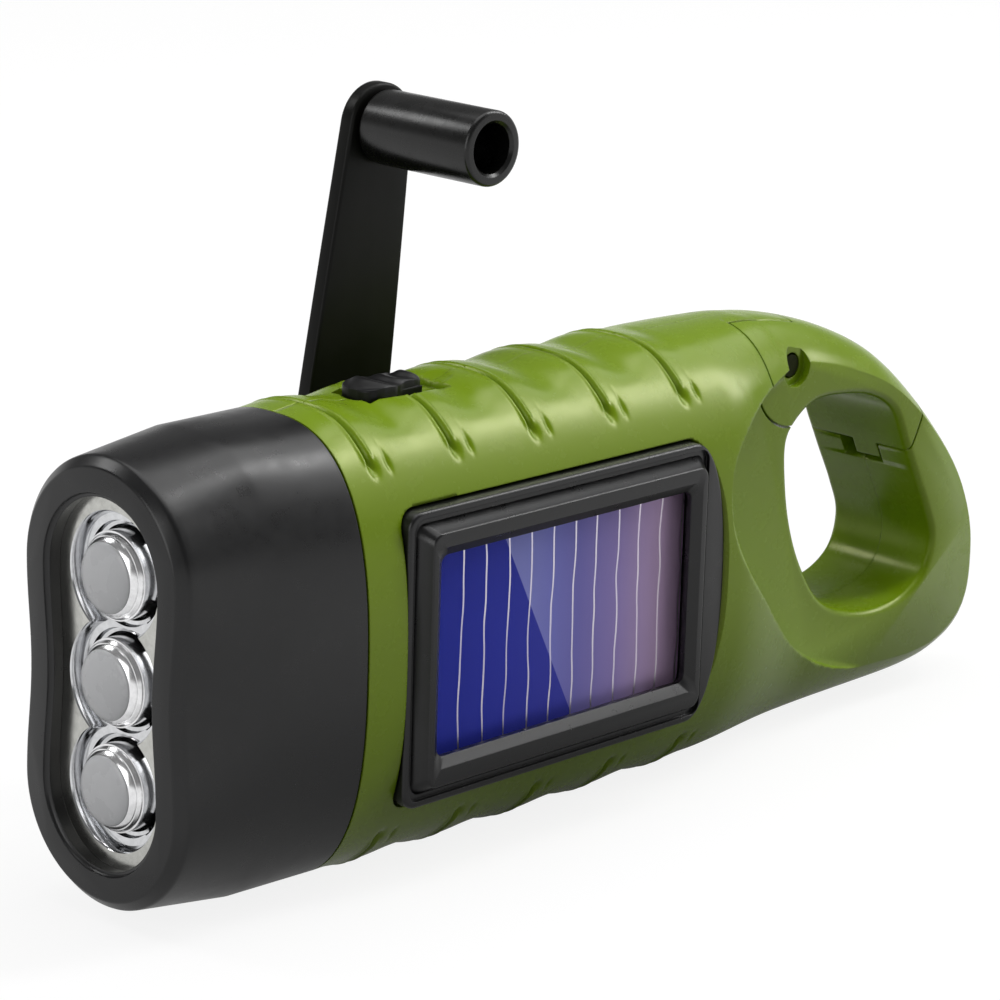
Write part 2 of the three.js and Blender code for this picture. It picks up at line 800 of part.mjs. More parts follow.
function solarBezel() {
  const body = loft([
    flatRing(solarOutline(0), -solarFloor - fit),
    flatRing(solarOutline(0), -solarRim + solarEdgeRound),
    flatRing(solarOutline(-solarEdgeRound), -solarRim),
  ]);
  const raised = loft([
    flatRing(solarOutline(-solarEdge), -solarRim + solarEdgeRound),
    flatRing(solarOutline(-solarEdge), -solarFace + solarEdgeRound),
    flatRing(solarOutline(-solarEdge - solarEdgeRound), -solarFace),
  ]);
  const window = loft([
    windowRing(-windowBevelWidth, -solarFace - overrun),
    windowRing(-windowBevelWidth, -solarFace),
    windowRing(0, -solarFace + windowBevelDepth),
    windowRing(0, -solarFloor),
  ]);
  const seat = loft([
    windowRing(-coverMargin - fit, -glassFace),
    windowRing(-coverMargin - fit, -solarFloor + overrun),
  ]);
  return cut(join(body, raised), window, seat);
}
add('solar_bezel', solarBezel(), blackPlastic);
const coverSheet = loft([
  windowRing(-coverMargin, -coverFront),
  windowRing(-coverMargin, -coverBack),
]);
add('solar_cover', coverSheet, clearPlastic);
const cellSheet = loft([
  windowRing(-coverMargin, -cellFront),
  windowRing(-coverMargin, -cellBack),
]);
add('solar_cell', cellSheet, cellBlue);

// Switch: a ridged thumb slider in a boat-shaped dimple on the top, and the switch under it
const sliderFront = 36.2;
const sliderLength = 9.4;
const sliderHalfWidth = 2.8;
const sliderTravel = 2.5;
const sliderProud = 0.9;
const sliderHeight = 2.5;
const sliderRidgeDepth = 0.6;
const sliderRidgeCount = 4;
const sliderRidgeShare = 0.33;
const stemLength = 3.4;
const stemHalfWidth = 1.1;
const stemDrop = 5;
const dimpleHalfLength = 9;
const dimpleHalfWidth = 4.6;
const dimpleDepth = 1.5;
const dimpleSphereShare = 0.35;
const dimpleSides = 16;
const dimpleBands = 10;
const switchHeight = 4.6;
const switchLength = 7.8;
const switchHalfWidth = 3.2;
const switchRail = 1.3;

const sliderTop = bodyHalfHeight + sliderProud;
const sliderBottom = sliderTop - sliderHeight;
const stemBottom = sliderBottom - stemDrop;
const switchTop = stemBottom - fit;
const sliderMiddle = sliderFront + sliderLength / 2;
const dimpleMiddle = sliderMiddle + sliderTravel / 2;
const stemFront = sliderMiddle - stemLength / 2;
const dimpleFloor = sliderBottom - fit;

function dimple() {
  const height = dimpleDepth / dimpleSphereShare;
  const sphere = new THREE.SphereGeometry(1, dimpleSides, dimpleBands);
  sphere.scale(dimpleHalfLength / Math.sqrt(1 - (1 - dimpleSphereShare) ** 2),
    dimpleHalfWidth / Math.sqrt(1 - (1 - dimpleSphereShare) ** 2), height);
  return solid(sphere.translate(dimpleMiddle, 0, dimpleFloor + height));
}

function slider() {
  const steps = 6;
  const low = sliderTop - sliderRidgeDepth;
  const cap = slab([
    [sliderFront, sliderBottom],
    [sliderFront + sliderLength, sliderBottom],
    [sliderFront + sliderLength, sliderBottom + (low - sliderBottom) / 2],
    [sliderFront + sliderLength - sliderRidgeDepth, low],
    [sliderFront + sliderRidgeDepth, low],
    [sliderFront, sliderBottom + (low - sliderBottom) / 2],
  ], -sliderHalfWidth, sliderHalfWidth);
  const pitch = (sliderLength - 2 * sliderRidgeDepth) / sliderRidgeCount;
  const ridgeRadius = pitch * sliderRidgeShare;
  const ridges = Array.from({ length: sliderRidgeCount }, (_, index) => {
    const x = sliderFront + sliderRidgeDepth + pitch * (index + 0.5);
    const ridge = arc(x, low, ridgeRadius, 0, 180, steps);
    return slab([...ridge, [x - ridgeRadius, low - fit], [x + ridgeRadius, low - fit]],
      -sliderHalfWidth + sliderRidgeDepth, sliderHalfWidth - sliderRidgeDepth);
  });
  const stem = block(stemFront, stemFront + stemLength, -stemHalfWidth, stemHalfWidth, stemBottom,
    sliderBottom + sliderRidgeDepth);
  return join(cap, ...ridges, stem);
}
add('switch_slider', slider(), blackPlastic);

const switchFront = dimpleMiddle - switchLength / 2;
const switchBox = block(switchFront, switchFront + switchLength, -switchHalfWidth, switchHalfWidth,
  switchTop - switchHeight, switchTop);
add('switch_body', switchBox, steel);

const sliderWay = block(sliderFront - fit, sliderFront + sliderLength + sliderTravel + fit,
  -sliderHalfWidth - fit, sliderHalfWidth + fit, dimpleFloor, bodyHalfHeight + overrun);
const stemSlot = block(stemFront - fit, stemFront + stemLength + sliderTravel + fit,
  -stemHalfWidth - fit, stemHalfWidth + fit, switchTop, bodyHalfHeight + overrun);
const switchCarrier = cut(
  block(switchFront - switchRail, switchFront + switchLength + switchRail,
    -switchHalfWidth - fit - switchRail, switchHalfWidth + fit + switchRail,
    switchTop - switchHeight, dimpleFloor),
  block(switchFront - fit, switchFront + switchLength + fit, -switchHalfWidth - fit, switchHalfWidth + fit,
    switchTop - switchHeight - overrun, switchTop + fit),
);

// Places of the crank and of the gear train on the far side, as [x, z]
function meshPlace(teethA, teethB, degrees, [x, z]) {
  const distance = gearModule * (teethA + teethB) / 2;
  const angle = THREE.MathUtils.degToRad(degrees);
  return [x + distance * Math.cos(angle), z + distance * Math.sin(angle)];
}
const hubPlace = [hubX, hubZ];
const firstPlace = meshPlace(driveTeeth, pinionTeeth, firstMeshDegrees, hubPlace);
const secondPlace = meshPlace(idlerTeeth, pinionTeeth, secondMeshDegrees, firstPlace);
const rotorPlace = meshPlace(idlerTeeth, pinionTeeth, thirdMeshDegrees, secondPlace);

const firstGearY = driveY - gearWidth - gearGap;
const firstGearTop = firstGearY + gearWidth;
const secondGearY = firstGearY - gearWidth - gearGap;
const secondGearTop = secondGearY + gearWidth;
const hubInner = bodyHalfWidth + hubStandOff;
const hubOuter = hubInner + hubThickness;
const padRadius = hubRadius + padMargin;
const padFace = hubInner - fit;

// Shell screws: two beside the front of the solar panel, two at the rear of the grip, one in the loop
const frontScrewInset = 1.1;
const upperScrewInset = 5;
const lowerScrewOffset = 1.6;
const frontScrewShare = 0.67;
const upperScrewShare = 0.752;
const lowerScrewShare = -0.658;
const loopScrewHeightShare = -0.722;
const loopScrewLengthShare = 0.6;
const screwPlaces = [
  [solarFront + frontScrewInset, loopZ(frontScrewShare)],
  [solarFront + frontScrewInset, loopZ(-frontScrewShare)],
  [loopStart - upperScrewInset, loopZ(upperScrewShare)],
  [loopStart + lowerScrewOffset, loopZ(lowerScrewShare)],
  [loopX(loopScrewLengthShare), loopZ(loopScrewHeightShare)],
];

// Screws of the gear plate: one beside the first idler, two beside the dynamo
const plateScrewIdlerRoom = 2.9;
const plateScrewDynamoRoom = 3;
const plateScrewRearRoom = 5.8;
const upperPlateDegrees = 47;
const lowerPlateDegrees = -116;
const rearPlateDegrees = -9;
const idlerTip = gearModule * (idlerTeeth / 2 + 1);
const beside = ([x, z], distance, degrees) => arc(x, z, distance, degrees, degrees, 1)[0];
const plateScrewPlaces = [
  beside(firstPlace, idlerTip + plateScrewIdlerRoom, upperPlateDegrees),
  beside(rotorPlace, statorRadius + plateScrewDynamoRoom, lowerPlateDegrees),
  beside(rotorPlace, statorRadius + plateScrewRearRoom, rearPlateDegrees),
];
const screwHeadRadius = 2.2;
const screwHeadThickness = 1.4;
const screwRadius = 1.1;
const screwHeadTop = 7.6;
const screwLength = 11.8;
const bossRadius = 3.4;
const screwSeat = screwHeadTop - screwHeadThickness - fit;
const screwTip = screwSeat - screwLength;

// Housing: a near and a far shell that meet at a line round the middle, y = 0
const seamGap = 0.15;
const plateTop = seamGap - fit;
const plateBottom = plateTop - plateThickness;
const innerWallY = -solarFloor + solarBacking;

const hole = (radius, from, to, place) => rod('y', radius, from, to, place, smallSides);

function cellCradle() {
  const half = cellLength * cellCount / 2 + fit * (cellCount + 1) / 2;
  const front = cellX - cellRadius - fit;
  const rear = cellX + cellRadius + fit;
  const frame = block(front, rear, innerWallY - solarBacking, cradleTop, -half - cradleWall, half + cradleWall);
  return cut(frame, rod('z', cellRadius + fit, -half, half, [cellX, cellY]));
}

function solidHousing() {
  const far = bodyHalfWidth + overrun;
  const pocketWall = slab(solarOutline(wall), -far, innerWallY);
  const core = loft([headLength + fit, gripEnd, cavityRear + wall].map((x) => sectionRing(x, wall / 2)));
  const bosses = [
    ...screwPlaces.filter(([x]) => x < cavityRear).map((place) => hole(bossRadius, -far, far, place)),
    ...plateScrewPlaces.map((place) => hole(plateBossRadius, seamGap, far, place)),
    hole(shaftBossRadius, driveTop + gearGap, far, firstPlace),
    hole(shaftBossRadius, firstGearTop + gearGap, far, secondPlace),
  ];
  const inside = join(pocketWall, switchCarrier, cellCradle(), ...bosses).intersect(core).intersect(skin);
  const shell = cut(join(skin, neck()), cavity());
  return join(shell, inside, rod('y', padRadius, padFace - padDepth, padFace, hubPlace));
}

function housing() {
  const far = bodyHalfWidth + overrun;
  const tongueBack = gateFrontReach + 2 * fit;
  const tongue = slab(tongueOutline(0, tongueBack), -tongueHalfWidth, tongueHalfWidth).intersect(skin);
  const tabRoom = slab(sector(tabRoot - fit, tabTip + fit, tabTopDegrees, pocketEndDegrees),
    -tabHalfWidth - fit, tabHalfWidth + fit);
  const shaftHoles = [firstPlace, secondPlace].map((place) => (
    hole(shaftRadius + running, 0, shaftEnd + fit, place)
  ));
  const screwHoles = screwPlaces.flatMap((place) => [
    hole(screwRadius + running, screwTip - fit, screwHeadTop, place),
    hole(screwHeadRadius + fit, screwSeat, far, place),
  ]);
  const plateScrewHoles = plateScrewPlaces.map((place) => (
    hole(plateScrewRadius + running, 0, plateBottom + plateScrewLength + fit, place)
  ));
  const open = cut(solidHousing(), slab(gateOutline(fit), -far, far));
  return cut(join(open, tongue),
    slab(solarOutline(fit), -far, -solarFloor), tabRoom, pinHole, sink(-1), sink(1),
    rod('y', springPocketRadius, -springPocketHalf, springPocketHalf, pin),
    rod('y', spindleRadius + running, 0, far, hubPlace),
    stemSlot, sliderWay, dimple(), standing, ...shaftHoles, ...screwHoles, ...plateScrewHoles);
}

const wholeHousing = housing();
const sideBlock = (from, to) => block(-overrun, totalLength + overrun, from, to, -2 * bodyHalfHeight,
  2 * bodyHalfHeight);
add('housing_near', wholeHousing.intersect(sideBlock(-2 * bodyHalfWidth, -seamGap)), greenPlastic);
add('housing_far', wholeHousing.intersect(sideBlock(seamGap, 2 * bodyHalfWidth)), greenPlastic);

screwPlaces.forEach((place, index) => {
  const seat = screwSeat + fit;
  const head = hole(screwHeadRadius, seat, seat + screwHeadThickness, place);
  const shank = hole(screwRadius, seat - screwLength, seat + screwHeadThickness / 2, place);
  add(`housing_screw_${index + 1}`, join(head, shank), steel);
});

// Spring of the gate: a wire wound round the pin, inside the tongue
class Helix extends THREE.Curve {
  constructor(radius, halfLength, turnCount) {
    super();
    Object.assign(this, { radius, halfLength, turnCount });
  }

  getPoint(share, target = new THREE.Vector3()) {
    const angle = 2 * Math.PI * this.turnCount * share;
    return target.set(this.radius * Math.cos(angle), this.halfLength * (2 * share - 1),
      this.radius * Math.sin(angle));
  }
}

function gateSpring() {
  const wireSides = 5;
  const stepsPerTurn = 9;
  const wire = new THREE.Shape(arc(0, 0, springWire, 0, 360, wireSides).slice(1)
    .map(([x, y]) => new THREE.Vector2(x, y)));
  const halfLength = springPocketHalf - springWire - fit;
  const geometry = new THREE.ExtrudeGeometry(wire, {
    steps: springTurns * stepsPerTurn,
    extrudePath: new Helix(springRadius, halfLength, springTurns),
  });
  return solid(geometry.translate(gatePinX, 0, gatePinZ));
}
add('gate_spring', gateSpring(), steel);

// Gears: straight-sided teeth with backlash. phaseDegrees is where one tooth points.
const addendumShare = 0.9;
const dedendumShare = 1.25;
const pressureAngle = THREE.MathUtils.degToRad(20);
const halfTurnDegrees = 180;

function gearOutline(teeth, phaseDegrees, [x, z]) {
  const pitchRadius = gearModule * teeth / 2;
  const rise = gearModule * addendumShare;
  const drop = gearModule * dedendumShare;
  const halfTooth = (Math.PI * gearModule / 2 - gearBacklash) / 2;
  const tipHalf = halfTooth - rise * Math.tan(pressureAngle);
  const rootHalf = halfTooth + drop * Math.tan(pressureAngle);
  const phase = THREE.MathUtils.degToRad(phaseDegrees);
  const at = (radius, offset, middle) => [
    x + radius * Math.cos(middle + offset / radius),
    z + radius * Math.sin(middle + offset / radius),
  ];
  return Array.from({ length: teeth }, (_, index) => {
    const middle = phase + 2 * Math.PI * index / teeth;
    return [
      at(pitchRadius - drop, -rootHalf, middle), at(pitchRadius + rise, -tipHalf, middle),
      at(pitchRadius + rise, tipHalf, middle), at(pitchRadius - drop, rootHalf, middle),
    ];
  }).flat();
}

// The gap of a driven gear faces the tooth of its driver on the line between their centres.
const drivenPhase = (meshDegrees, teeth) => meshDegrees + halfTurnDegrees + halfTurnDegrees / teeth;

function idler(place, gearY, pinionTop, pinionPhase, gearPhase) {
  const gear = slab(gearOutline(idlerTeeth, gearPhase, place), gearY, gearY + gearWidth);
  const pinion = slab(gearOutline(pinionTeeth, pinionPhase, place), gearY + gearWidth / 2, pinionTop);
  return cut(join(gear, pinion), hole(shaftRadius + running, gearY - overrun, pinionTop + overrun, place));
}
add('idler_gear_1', idler(firstPlace, firstGearY, driveTop, drivenPhase(firstMeshDegrees, pinionTeeth),
  secondMeshDegrees), whiteNylon);
add('idler_gear_2', idler(secondPlace, secondGearY, firstGearTop,
  drivenPhase(secondMeshDegrees, pinionTeeth), thirdMeshDegrees), whiteNylon);
add('idler_shaft_1', hole(shaftRadius, plateBottom, shaftEnd, firstPlace), steel);
add('idler_shaft_2', hole(shaftRadius, plateBottom, shaftEnd, secondPlace), steel);

// Dynamo: a magnet that spins inside a coil, in an open steel can under the gear plate
const statorTop = plateBottom - fit;
const statorBottom = innerWallY + fit;
const statorFloor = statorBottom + statorWall;
const coilTop = statorTop - fit;
const rotorHole = hole(shaftRadius + running, statorBottom - overrun, secondGearTop + overrun, rotorPlace);

function tube(outer, inner, from, to, place) {
  return cut(rod('y', outer, from, to, place), rod('y', inner, from - overrun, to + overrun, place));
}
const coilOuter = statorRadius - statorWall - fit;
const can = cut(rod('y', statorRadius, statorBottom, statorTop, rotorPlace),
  rod('y', statorRadius - statorWall, statorFloor, statorTop + overrun, rotorPlace), rotorHole);
add('stator_can', can, steel);
add('stator_coil', tube(coilOuter, coilOuter - coilThickness, statorFloor + fit, coilTop, rotorPlace), copper);
const magnet = rod('y', magnetRadius, statorFloor + magnetRoom, statorTop - magnetRoom, rotorPlace);
add('rotor_magnet', cut(magnet, rotorHole), magnetGrey);
const rotorPinion = slab(gearOutline(pinionTeeth, drivenPhase(thirdMeshDegrees, pinionTeeth), rotorPlace),
  secondGearY, secondGearTop);
add('rotor_pinion', cut(rotorPinion, rotorHole), whiteNylon);
add('rotor_shaft', hole(shaftRadius, statorBottom, secondGearTop + fit, rotorPlace), steel);

// Gear plate: a flat plate with round corners, screwed to three bosses of the far shell
function roundedHull(places, radius, steps) {
  return places.flatMap(([x, z], index) => {
    const [beforeX, beforeZ] = places[(index + places.length - 1) % places.length];
    const [afterX, afterZ] = places[(index + 1) % places.length];
    const start = THREE.MathUtils.radToDeg(Math.atan2(z - beforeZ, x - beforeX)) - halfTurnDegrees / 2;
    const swing = THREE.MathUtils.radToDeg(Math.atan2(afterZ - z, afterX - x)) - halfTurnDegrees / 2 - start;
    const turn = (swing + 2 * halfTurnDegrees) % (2 * halfTurnDegrees);
    return arc(x, z, radius, start, start + turn, steps);
  });
}
const [upperScrew, lowerScrew, rearScrew] = plateScrewPlaces;
const plateCorners = [upperScrew, firstPlace, lowerScrew, rearScrew];
const plateSheet = slab(roundedHull(plateCorners, plateMargin, cornerSteps), plateBottom, plateTop);
const plateHoles = [
  ...[firstPlace, secondPlace, rotorPlace].map((place) => (
    hole(shaftRadius + running, plateBottom - overrun, plateTop + overrun, place)
  )),
  ...plateScrewPlaces.map((place) => (
    hole(plateScrewRadius + running, plateBottom - overrun, plateTop + overrun, place)
  )),
];
add('gear_plate', cut(plateSheet, ...plateHoles), steel);
plateScrewPlaces.forEach((place, index) => {
  const seat = plateBottom - fit;
  const head = hole(plateScrewHead, seat - plateScrewHeight, seat, place);
  const shank = hole(plateScrewRadius, seat - plateScrewHeight / 2, plateBottom + plateScrewLength, place);
  add(`plate_screw_${index + 1}`, join(head, shank), steel);
});

// Batteries and main board
between(0, cellCount - 1, cellCount - 1).forEach((step) => {
  const bottom = (step - cellCount / 2) * (cellLength + fit) + fit / 2;
  add(`battery_${step + 1}`, rod('z', cellRadius, bottom, bottom + cellLength, [cellX, cellY]), chrome);
});
const boardY = innerWallY + fit;
add('main_board', block(mainBoardFront, mainBoardFront + mainBoardLength, boardY,
  boardY + mainBoardThickness, mainBoardBottom, mainBoardBottom + mainBoardHeight), boardGreen);

// Crank: hub with its spindle, folding arm and knob. The group leans back from upright.
const crankGroup = new THREE.Group();
crankGroup.position.set(hubX, 0, hubZ);
crankGroup.rotation.y = THREE.MathUtils.degToRad(crankLeanDegrees);
rootGroup.add(crankGroup);
const centre = [0, 0];
const armInner = hubOuter + fit;
const armOuter = armInner + armThickness;
const foldY = armInner + barrelRadius;
const driveSeat = driveY + hubScrewHeight;
const spindleShoulder = driveTop + fit;
const hubScrewTip = driveSeat + hubScrewLength;

// The drive gear sits on a shank with one flat.
function driveShank(extra, from, to) {
  const flat = block(driveFlat + extra, spindleRadius + overrun, from - overrun, to + overrun,
    -spindleRadius, spindleRadius);
  return cut(hole(driveShankRadius + extra, from, to, centre), flat);
}

function crankHub() {
  const disc = turned('y', [
    [hubInner, 0], [hubInner, hubRadius], [hubOuter - hubChamfer, hubRadius],
    [hubOuter, hubRadius - hubChamfer], [hubOuter, 0],
  ], centre);
  const lug = block(-lugHalfWidth, lugHalfWidth, hubOuter - hubChamfer, foldY, -barrelRadius, barrelRadius);
  const barrel = rod('x', barrelRadius, -lugHalfWidth, lugHalfWidth, [foldY, 0]);
  const spindle = rod('y', spindleRadius, spindleShoulder, hubInner + hubThickness / 2, centre);
  const body = join(disc, lug, barrel, spindle, driveShank(0, driveSeat + fit, spindleShoulder + fit));
  return cut(body, foldPinHole(lugHalfWidth + overrun), hole(hubScrewRadius + running, 0,
    hubScrewTip + fit, centre));
}

function foldPinHole(halfLength) {
  return rod('x', foldPinRadius + running, -halfLength, halfLength, [foldY, 0], smallSides);
}
add('crank_hub', crankHub(), blackPlastic, crankGroup);

const driveGear = slab(gearOutline(driveTeeth, firstMeshDegrees + crankLeanDegrees, centre), driveY, driveTop);
const screwSeatHole = hole(hubScrewHead + fit, driveY - overrun, driveSeat + fit, centre);
add('drive_gear', cut(driveGear, driveShank(running, driveY, driveTop + overrun), screwSeatHole), whiteNylon,
  crankGroup);
const hubScrew = join(hole(hubScrewHead, driveSeat - hubScrewHeight, driveSeat, centre),
  hole(hubScrewRadius, driveSeat - hubScrewHeight / 2, hubScrewTip, centre));
add('hub_screw', hubScrew, steel, crankGroup);
const foldPinHalf = armRootWidth / 2 - foldPinInset;
add('fold_pin', rod('x', foldPinRadius, -foldPinHalf, foldPinHalf, [foldY, 0], smallSides), steel, crankGroup);

function crankArm() {
  const rootHalf = armRootWidth / 2;
  const tipSteps = 8;
  const outline = [
    [-rootHalf, 0], [rootHalf, 0], [armMiddleWidth / 2, armMiddle],
    ...arc(0, crankRadius, armTipWidth / 2, 0, halfTurnDegrees, tipSteps),
    [-armMiddleWidth / 2, armMiddle],
  ];
  const body = join(slab(outline, armInner, armOuter),
    rod('x', barrelRadius, -rootHalf, rootHalf, [foldY, 0]));
  const slotHalf = lugHalfWidth + fit;
  const slot = block(-slotHalf, slotHalf, armInner - overrun, foldY + barrelRadius + overrun,
    -barrelRadius - overrun, armSlotEnd);
  return cut(body, slot, foldPinHole(rootHalf + overrun),
    hole(knobPinRadius + running, armInner - overrun, armOuter + overrun, [0, crankRadius]));
}
add('crank_arm', crankArm(), blackPlastic, crankGroup);

const knobTop = armInner - fit;
const knobEnd = knobTop - knobLength;
const socketFloor = knobEnd + knobSocketDepth;
const knob = turned('y', [
  [knobEnd, knobBore], [knobEnd, knobRadius - knobRound], [knobEnd + knobRound, knobRadius],
  [knobTop - knobRound, knobRadius], [knobTop, knobRadius - knobRound], [knobTop, knobPinRadius + running],
  [socketFloor, knobPinRadius + running], [socketFloor, knobBore], [knobEnd, knobBore],
], [0, crankRadius]);
add('crank_knob', knob, blackPlastic, crankGroup);
const pinHeadTop = socketFloor - fit;
const knobPin = join(
  hole(knobPinHead, pinHeadTop - knobPinHeadThickness, pinHeadTop, [0, crankRadius]),
  hole(knobPinRadius, pinHeadTop - knobPinHeadThickness / 2, armOuter, [0, crankRadius]),
);
add('knob_pin', knobPin, steel, crankGroup);

// The origin is under the middle of the light, on the surface that its ribs stand on.
const wholeBox = new THREE.Box3().setFromObject(rootGroup);
const middle = wholeBox.getCenter(new THREE.Vector3());
rootGroup.position.set(-middle.x, -middle.y, -wholeBox.min.z);
rootGroup.updateMatrixWorld(true);

export default rootGroup;
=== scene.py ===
"""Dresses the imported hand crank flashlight: finer surfaces over its nodes, materials, light and camera."""
import math

import bmesh
import bpy
import numpy as np
from mathutils import Matrix, Vector


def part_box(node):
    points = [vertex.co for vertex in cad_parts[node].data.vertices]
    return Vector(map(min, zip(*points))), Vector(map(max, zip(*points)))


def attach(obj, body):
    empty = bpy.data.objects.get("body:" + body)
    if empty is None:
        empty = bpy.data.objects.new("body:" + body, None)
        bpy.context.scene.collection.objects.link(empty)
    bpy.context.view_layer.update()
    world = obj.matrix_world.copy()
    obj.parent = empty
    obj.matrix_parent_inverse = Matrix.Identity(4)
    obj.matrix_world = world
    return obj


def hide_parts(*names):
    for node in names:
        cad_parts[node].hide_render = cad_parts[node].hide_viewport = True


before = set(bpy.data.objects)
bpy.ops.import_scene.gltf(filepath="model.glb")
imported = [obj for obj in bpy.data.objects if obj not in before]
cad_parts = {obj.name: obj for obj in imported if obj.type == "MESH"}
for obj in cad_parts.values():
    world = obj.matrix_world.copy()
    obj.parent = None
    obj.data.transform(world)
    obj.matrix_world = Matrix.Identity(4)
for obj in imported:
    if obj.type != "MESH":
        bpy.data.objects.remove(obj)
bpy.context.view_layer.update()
bpy.context.scene.view_settings.view_transform = "Standard"

# The part's own millimetres start at the middle of the lamp face. ORIGIN is that place in the frame.
MM = 0.001
head_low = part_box("head_bezel")[0]
lamp_low, lamp_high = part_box("led_2")
ORIGIN = np.array([head_low.x, (lamp_low.y + lamp_high.y) / 2, (lamp_low.z + lamp_high.z) / 2]) / MM

# Sizes of the light, in millimetres, as in the CAD source
LOOP_START = 85
LOOP_LENGTH = 60
TOTAL_LENGTH = LOOP_START + LOOP_LENGTH
HALF_HEIGHT = 26.6
HALF_WIDTH = 15.6
SECTION_POWER_SHARE = 2.6
WALL = 2
FIT = 0.3
RUNNING = 0.2
OVERRUN = 5
SEAM_GAP = 0.012
FAR = HALF_WIDTH + OVERRUN
HIGH = HALF_HEIGHT + OVERRUN

HEAD_LENGTH = 24.4
FACE_HALF_HEIGHT = 24.9
LOBE_RADIUS = 13
WAIST_HALF_WIDTH = 12.26
CREASE_X = 12.8
CREASE_HALF_WIDTH = 14.7
CREASE_HALF_HEIGHT = 26
RIM_RADIUS = 1.5
RIM_WIDTH = 4.4
RECESS_DEPTH = 1.7
NECK_FRONT = 12.9
NECK_WALL = 1.6

LAMP_PITCH = 11.76
LAMP_RADIUS = 4.85
LAMP_TIP = 0.1
LAMP_LENGTH = 9
LAMP_FLANGE_THICKNESS = 1
LAMP_FLANGE_WIDTH = 0.5
CUP_WALL = 0.9

GRIP_FIRST = 28.5
GRIP_PITCH = 12.45
GRIP_COUNT = 5
GRIP_HEIGHT = 0.38
GRIP_SHIFT_BELOW = 2
FLAT_DEPTH = 0.35

LOOP_HALF_WIDTH = 11.4
LOOP_HALF_THICKNESS = 8.15
NOSE_LENGTH = 18.48
NOSE_TIP = 0.08
LOOP_TAPER_SHARE = 0.35

SOLAR_FRONT = 30.4
SOLAR_HALF_HEIGHT = 16.8
SOLAR_DROP = 0.4
SOLAR_CORNER = 2
SOLAR_FLOOR = 11
SOLAR_RIM = 15.2
SOLAR_FACE = 16.6
SOLAR_DEPTH = 1.5
WINDOW_FRONT = 34.7
WINDOW_LENGTH = 40.7
WINDOW_HALF_HEIGHT = 11.5
WINDOW_RISE = 0.2
WINDOW_CORNER = 1.1
COVER_MARGIN = 1.2

PIN_X = 102.598
PIN_Z = 20.2
PIN_RADIUS = 1.4
GATE_FRONT_REACH = 7.2
GATE_REAR_REACH = 27
TONGUE_HALF_WIDTH = 3.1
TONGUE_REACH = 4.4
TAB_HALF_WIDTH = 2.8
TAB_DEPTH = 2.6
TAB_RISE = 1
TAB_TOP_DEGREES = -28
TAB_END_DEGREES = -37.5
POCKET_END_DEGREES = -46
PIVOT_ARC_DEGREES = -70
REAR_ARC_DEGREES = -42
SWING_ROOM_DEGREES = -60
SINK_RADIUS = 2.5
SINK_DEPTH = 1

HUB_X = 50.2
HUB_Z = -6
CRANK_RADIUS = 57
CRANK_LEAN_DEGREES = 8
HUB_RADIUS = 10
HUB_THICKNESS = 2
HUB_STAND_OFF = 0.5
LUG_HALF_WIDTH = 3.5
SPINDLE_RADIUS = 3.5
ARM_THICKNESS = 2.1
ARM_ROOT_WIDTH = 15.6
ARM_MIDDLE_WIDTH = 12.7
ARM_MIDDLE = 31
ARM_TIP_WIDTH = 10
ARM_SLOT_END = 4.2
BARREL_RADIUS = 2.5
FOLD_PIN_RADIUS = 1.2
KNOB_RADIUS = 4.35
KNOB_BORE = 2.9
KNOB_LENGTH = 17.4
KNOB_SOCKET_DEPTH = 10.3
KNOB_PIN_RADIUS = 1.6
PAD_RADIUS = 11

SLIDER_FRONT = 36.2
SLIDER_LENGTH = 9.4
SLIDER_HALF_WIDTH = 2.8
SLIDER_TRAVEL = 2.5
SLIDER_PROUD = 0.9
SLIDER_HEIGHT = 2.5
STEM_LENGTH = 3.4
STEM_HALF_WIDTH = 1.1
STEM_DROP = 5
DIMPLE_HALF_LENGTH = 9
DIMPLE_HALF_WIDTH = 4.6
DIMPLE_DEPTH = 1.5
DIMPLE_SPHERE_SHARE = 0.35

SCREW_PLACES = [(31.5, 17.82), (31.5, -17.82), (80, 20), (86.6, -17.5), (121, -19.2)]
SCREW_HEAD_RADIUS = 2.2
SCREW_HEAD_THICKNESS = 1.4
SCREW_RADIUS = 1.1
SCREW_HEAD_TOP = 7.6
SCREW_LENGTH = 11.8

# How finely the surfaces are made
RING_SIDES = 288
ROUND_SIDES = 96
SMALL_SIDES = 40
ARC_STEPS = 48
GRIP_STATION_STEP = 0.13
TAIL_STATION_STEP = 0.4
SHARP_DEGREES = 32
POINT_GAP = 1e-8
NODE_POINT_GAP = 1e-7


# Points and curves
def smooth(share):
    held = np.clip(share, 0, 1)
    return held * held * (3 - 2 * held)


def catmull(points, steps):
    """Points on an open spline through the given ones, evenly spaced in its parameter."""
    points = np.asarray(points, float)
    last = len(points) - 1
    made = []
    for share in np.linspace(0, 1, steps + 1):
        place = share * last
        index = min(int(place), last - 1)
        t = place - index
        p0, p1 = points[max(index - 1, 0)], points[index]
        p2, p3 = points[index + 1], points[min(index + 2, last)]
        v0, v1 = (p2 - p0) / 2, (p3 - p1) / 2
        cubic = (2 * p1 - 2 * p2 + v0 + v1) * t ** 3
        square = (3 * p2 - 3 * p1 - 2 * v0 - v1) * t ** 2
        made.append(cubic + square + v0 * t + p1)
    return np.array(made)


